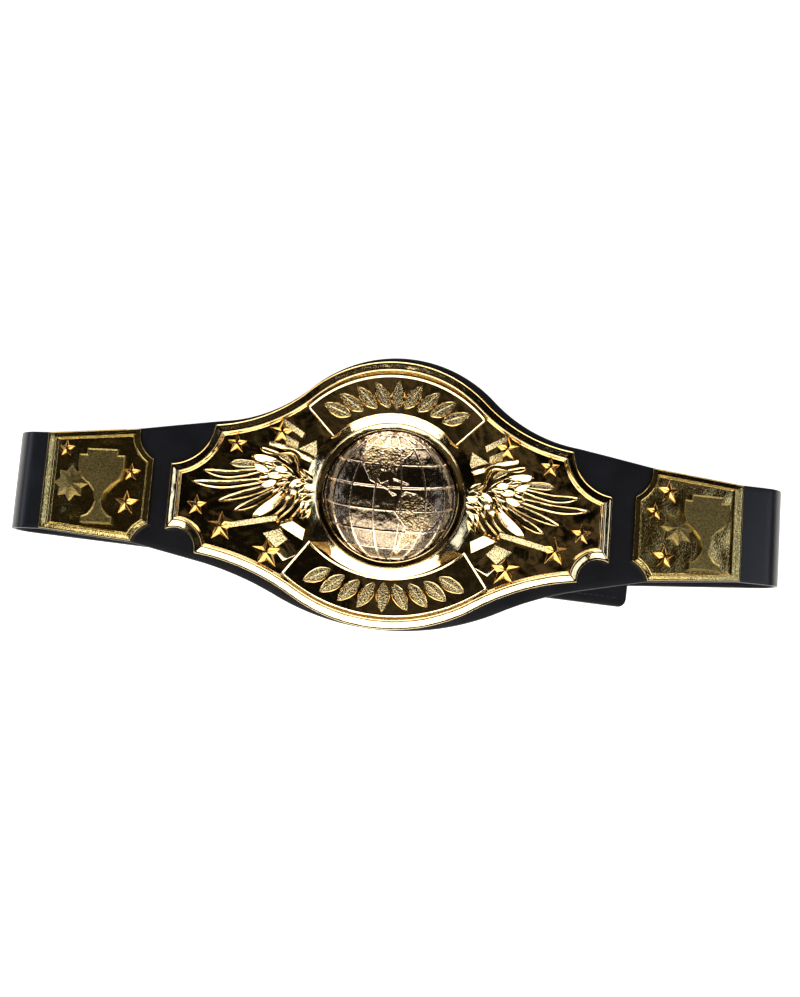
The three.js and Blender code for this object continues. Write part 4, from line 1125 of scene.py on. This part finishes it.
tilts = np.linspace(0, math.pi / 2, globe_rings + 1)[1:, None]
spokes = np.linspace(0, 2 * math.pi, globe_spokes, endpoint=False)[None, :]
ball = np.stack(np.broadcast_arrays(
    np.sin(tilts) * np.cos(spokes), np.sin(tilts) * np.sin(spokes), np.cos(tilts)), axis=-1).reshape(-1, 3)
ball = np.vstack([ball, (0, 0, 1)])
latitude = np.degrees(np.arcsin(np.clip(
    math.cos(view_latitude) * ball[:, 1] + math.sin(view_latitude) * ball[:, 2], -1, 1)))
east = np.degrees(np.arctan2(
    ball[:, 0], math.cos(view_latitude) * ball[:, 2] - math.sin(view_latitude) * ball[:, 1]))
off_parallel = np.abs((latitude - first_parallel + parallel_step / 2) % parallel_step - parallel_step / 2)
off_meridian = np.abs((east - first_meridian + meridian_step / 2) % meridian_step - meridian_step / 2)
off_line = np.radians(np.minimum(off_parallel, off_meridian * np.cos(np.radians(latitude)))) * globe_radius
line_height = graticule_rise * np.sqrt(np.clip(1 - (off_line / (line_width / 2)) ** 2, 0, 1))
inland = land_depth(ball[:, 0], ball[:, 1])
pebbles = np.array([abs(noise.noise(Vector(point) * globe_radius / pebble_length)) for point in ball])
on_land = np.clip(inland / land_slope + 0.5, 0, 1)
coast_bead = coast_bead_height * np.clip(1 - np.abs(inland - coast_bead_middle) / coast_bead_half, 0, 1)
land_height = on_land * (land_floor + pebble_share * pebbles) * land_rise + coast_bead
heights = np.maximum(line_height, land_height)
sea = np.array([swell_height * noise.noise(Vector(point) * globe_radius / swell_length)
                + dent_height * noise.noise(Vector(point) * globe_radius / dent_length)
                for point in ball])
dome = ball * (globe_radius - graticule_rise + heights + sea * (1 - on_land))[:, None]
dome *= (1, 1, globe_rise / globe_radius)
dome += (0, 0, field + seat + globe_depth)
foot_ring = dome[(globe_rings - 1) * globe_spokes:globe_rings * globe_spokes] * (1, 1, 0)
foot_ring += (0, 0, field + seat)
top = len(ball) - 1
dome_points = np.vstack([dome, foot_ring])
foot_start = len(ball)
dome_faces = []
is_sea = heights < raised_from
for row in range(globe_rings - 1):
    for i in range(globe_spokes):
        following = (i + 1) % globe_spokes
        dome_faces.append((row * globe_spokes + i, (row + 1) * globe_spokes + i,
                           (row + 1) * globe_spokes + following, row * globe_spokes + following))
last = (globe_rings - 1) * globe_spokes
for i in range(globe_spokes):
    following = (i + 1) % globe_spokes
    dome_faces.append((top, i, following))
    dome_faces.append((last + i, foot_start + i, foot_start + following, last + following))
dome_faces.append(tuple(foot_start + i for i in reversed(range(globe_spokes))))

# The same metallising under a browner lacquer: the raised lines are a rosy mirror, the sea is mottled and
# painted darker as painted shade in the low ground between them, and the lands are rougher and glitter.
gold_rose = metallised("metallised_rose_gold_mirror", "#f0d6b8", 0.22, 0.12, 0.06)
# The sea's colour is painted darker than the rest of the globe: painted shade in its low ground.
painted_dark_sea = metallised("metallised_painted_shade_sea", "#ad9b84", 0.17, 1.1, 0.13, 0.5)
land_gold = metallised("metallised_gold_land", "#cdb48c", 0.18, 0.9, 0.22, 0.5)
line_face, sea_face, land_face = range(3)
dome_kinds = []
for face in dome_faces:
    corner = face[0]
    if corner >= len(ball) or line_height[corner] > raised_from:
        dome_kinds.append(line_face)
    elif inland[corner] > coast_width:
        dome_kinds.append(land_face)
    else:
        dome_kinds.append(sea_face if is_sea[corner] else line_face)
globe = moulding("globe_dome", [(dome_points, dome_faces, dome_kinds)], [gold_rose, painted_dark_sea, land_gold])
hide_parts("globe")

# The side plates
# Two smaller mouldings of the same plastic and finish: notched corners towards the main plate,
# a wider rim towards the fold, and a cup, a rosette and three stars.
side_outer_top = 27.2
side_outer_bottom = -32
side_top_notch = 18.5
side_bottom_notch = 11
side_notch_radius = 18
side_rim_width = 4.6
side_rim_rise = 1.3
outer_rim_scale = 1.7
side_star_radius = 7
side_star_rise = 2.4
cup_width = 30
cup_height = 46
cup_rise = 2.4
cup_bead = 0.6
rosette_radius = 11
rosette_rise = 2
rosette_petals = 8
rosette_waist = 0.7
cup_outline = [
    (0.34, -0.5), (0.34, -0.41), (0.22, -0.38), (0.12, -0.3), (0.07, -0.2), (0.12, -0.08), (0.25, 0.02),
    (0.42, 0.1), (0.5, 0.24), (0.5, 0.42), (0.34, 0.42), (0.34, 0.5),
]
layouts = {
    -1: {"cup": (0.46, -0.04), "rosette": (0.74, -0.02),
         "stars": [((0.81, 0.34), 0.75), ((0.19, 0.12), 0.8), ((0.21, -0.2), 1.1)]},
    1: {"cup": (0.65, -0.04), "rosette": (0.4, -0.01),
        "stars": [((0.3, 0.35), 1.05), ((0.18, 0.13), 0.78), ((0.28, -0.33), 1.05)]},
}


def side_plate(side):
    inner = tab_reach + side_gaps[side]
    outer = inner + side_length
    corners = np.array([
        (inner + side_notch_length, side_inner_bottom), (outer, side_outer_bottom),
        (outer, side_outer_top), (inner + side_notch_length, side_inner_top),
        (inner, side_inner_top - side_top_notch), (inner, side_inner_bottom + side_bottom_notch)])
    low, outer_low, outer_high, high, inner_high, inner_low = corners
    edges = [
        straight(low, outer_low),
        straight(outer_low, outer_high, outer_rim_scale),
        straight(outer_high, high),
        arc(centre_through(high, inner_high, side_notch_radius), side_notch_radius),
        straight(inner_high, inner_low),
        arc(centre_through(inner_low, low, side_notch_radius), side_notch_radius),
    ]
    height = side_outer_top - side_outer_bottom
    middle = (side_outer_top + side_outer_bottom) / 2

    def in_side(place):
        return np.array([inner + place[0] * side_length, middle + place[1] * height])

    layout = layouts[side]
    half_cup = np.array(cup_outline) * (cup_width, cup_height)
    cup = np.vstack([half_cup, (half_cup * (-1, 1))[::-1]]) + in_side(layout["cup"])
    cup_edges = [straight(cup[i], cup[(i + 1) % len(cup)]) for i in range(len(cup))]
    shells = [
        rimmed_plate(edges, corners, side_rim_width, side_rim_rise),
        (*beaded(lambda inset: walked(cup_edges, cup, inset), field + cup_rise - cup_bead, cup_bead),
         pebbled_face),
        star(in_side(layout["rosette"]), rosette_radius, rosette_rise / 2, rosette_rise,
             rosette_petals, rosette_waist, pebbled_face),
        *[star(in_side(place), size * side_star_radius, star_edge, size * side_star_rise)
          for place, size in layout["stars"]],
    ]
    return shells if side > 0 else [mirrored_shell(shell) for shell in shells]


# The plates at the sides have less lacquer: a mirror speckled with painted shade in its pits, and olive
# faces with a dull glitter.
gold_olive = metallised("metallised_olive_gold_pebbled", "#b8a264", 0.28, 0.2, 0.3, 0.6)
gold_speckled = metallised("metallised_gold_speckled", "#eed78f", 0.12, 0.2, 0.14, 0.55)
for side, word in ((-1, "left"), (1, "right")):
    made = moulding(f"side_plate_{word}_gold", side_plate(side), [gold_speckled, gold_olive, gold_amber])
    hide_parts(f"side_plate_{word}")

# The hook and loop patches
# Two panels of woven hook and loop cloth, sewn on with black thread: one inside the strap's outer
# end, one on the inner end where it lies on the other.
patch_length = 120
patch_margin = 4
patch_round = 0.3
inside_face = -strap_thickness - seat
stitch_length = 2.6
stitch_pitch = 3.7
stitch_width = 0.7
stitch_height = 0.3
stitch_inset = 1.6
stitch_sunk = 0.22
patches = table(("node", "side", "low", "high", "sewn"), [
    ("hook_patch", 1, inside_face - patch_thickness, inside_face, -stitch_sunk),
    ("loop_patch", -1, seat, seat + patch_thickness, -strap_thickness),
])

# Nylon hook and loop cloth: a dull black nap of fine loops, woven in rows.
nap_width = 0.9
nap, tree = new_material("woven_hook_and_loop_nylon")
place = add_node(tree, "ShaderNodeTexCoord")
loops = add_node(tree, "ShaderNodeTexVoronoi", {"Scale": 1 / (nap_width * mm)},
                 {"Vector": (place, "Object")})
shade = add_node(tree, "ShaderNodeMix", {
    "data_type": "RGBA", 6: linear("#1c1c1e"), 7: linear("#08080a")}, {0: (loops, "Distance")})
nap_bump = add_node(tree, "ShaderNodeBump", {"Strength": 0.8, "Distance": 0.4 * mm},
                    {"Height": (loops, "Distance")})
cloth = add_node(tree, "ShaderNodeBsdfPrincipled", {"Roughness": 0.9, "Specular IOR Level": 0.2},
                 {"Base Color": (shade, 2), "Normal": (nap_bump, "Normal")})
add_node(tree, "ShaderNodeOutputMaterial", {}, {"Surface": (cloth, "BSDF")})

# Twisted polyester thread: black, a little glossier than the leather.
thread, tree = new_material("black_polyester_thread")
fibre = add_node(tree, "ShaderNodeBsdfPrincipled", {
    "Base Color": linear("#141416"), "Roughness": 0.4, "Specular IOR Level": 0.5})
add_node(tree, "ShaderNodeOutputMaterial", {}, {"Surface": (fibre, "BSDF")})


def stitch(place, way, face_height, outwards):
    """A short loop of thread that stands out of one face of the leather."""
    turns = np.linspace(0, 2 * math.pi, 10, endpoint=False)
    across = turned_left(way)
    loop = (np.outer(np.cos(turns) * stitch_length / 2, way)
            + np.outer(np.sin(turns) * stitch_width / 2, across))
    rings = [raised(loop * share, height * stitch_height)
             for share, height in ((1, -1), (1, 0), (0.85, 0.6), (0.5, 0.95))]
    points, faces = stacked(rings)
    points = points * (1, 1, outwards) + (*place, face_height)
    return points, faces if outwards > 0 else [face[::-1] for face in faces], 0


stitches = []
for row in patches:
    side = row["side"]
    outer = ends[side] - patch_margin
    inner = outer - patch_length
    top = strap_end_top - patch_margin
    bottom = strap_end_top - strap_end_height + patch_margin
    corners = [np.array(corner) for corner in (
        (side * inner, bottom), (side * outer, bottom), (side * outer, top), (side * inner, top))][::side]
    edges = [straight(corners[i], corners[(i + 1) % len(corners)]) for i in range(len(corners))]
    panel = stacked([raised(walked(edges, corners, inset, stitch_pitch), height) for inset, height in (
        (patch_round, row["low"]), (0, row["low"] + patch_round),
        (0, row["high"] - patch_round), (patch_round, row["high"]))], stitch_pitch)
    piece = object_from(row["node"] + "_cloth", bent(panel[0]), panel[1], [nap])
    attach(piece, "root")
    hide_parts(row["node"])
    seam = walked(edges, corners, stitch_inset, stitch_pitch)
    for here, there in zip(seam, np.roll(seam, -1, axis=0)):
        stitches.append(stitch((here + there) / 2, unit(there - here), row["sewn"], side))
points, faces, numbers = gathered(stitches)
seams = object_from("strap_stitches", bent(points), faces, [thread], numbers)
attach(seams, "root")
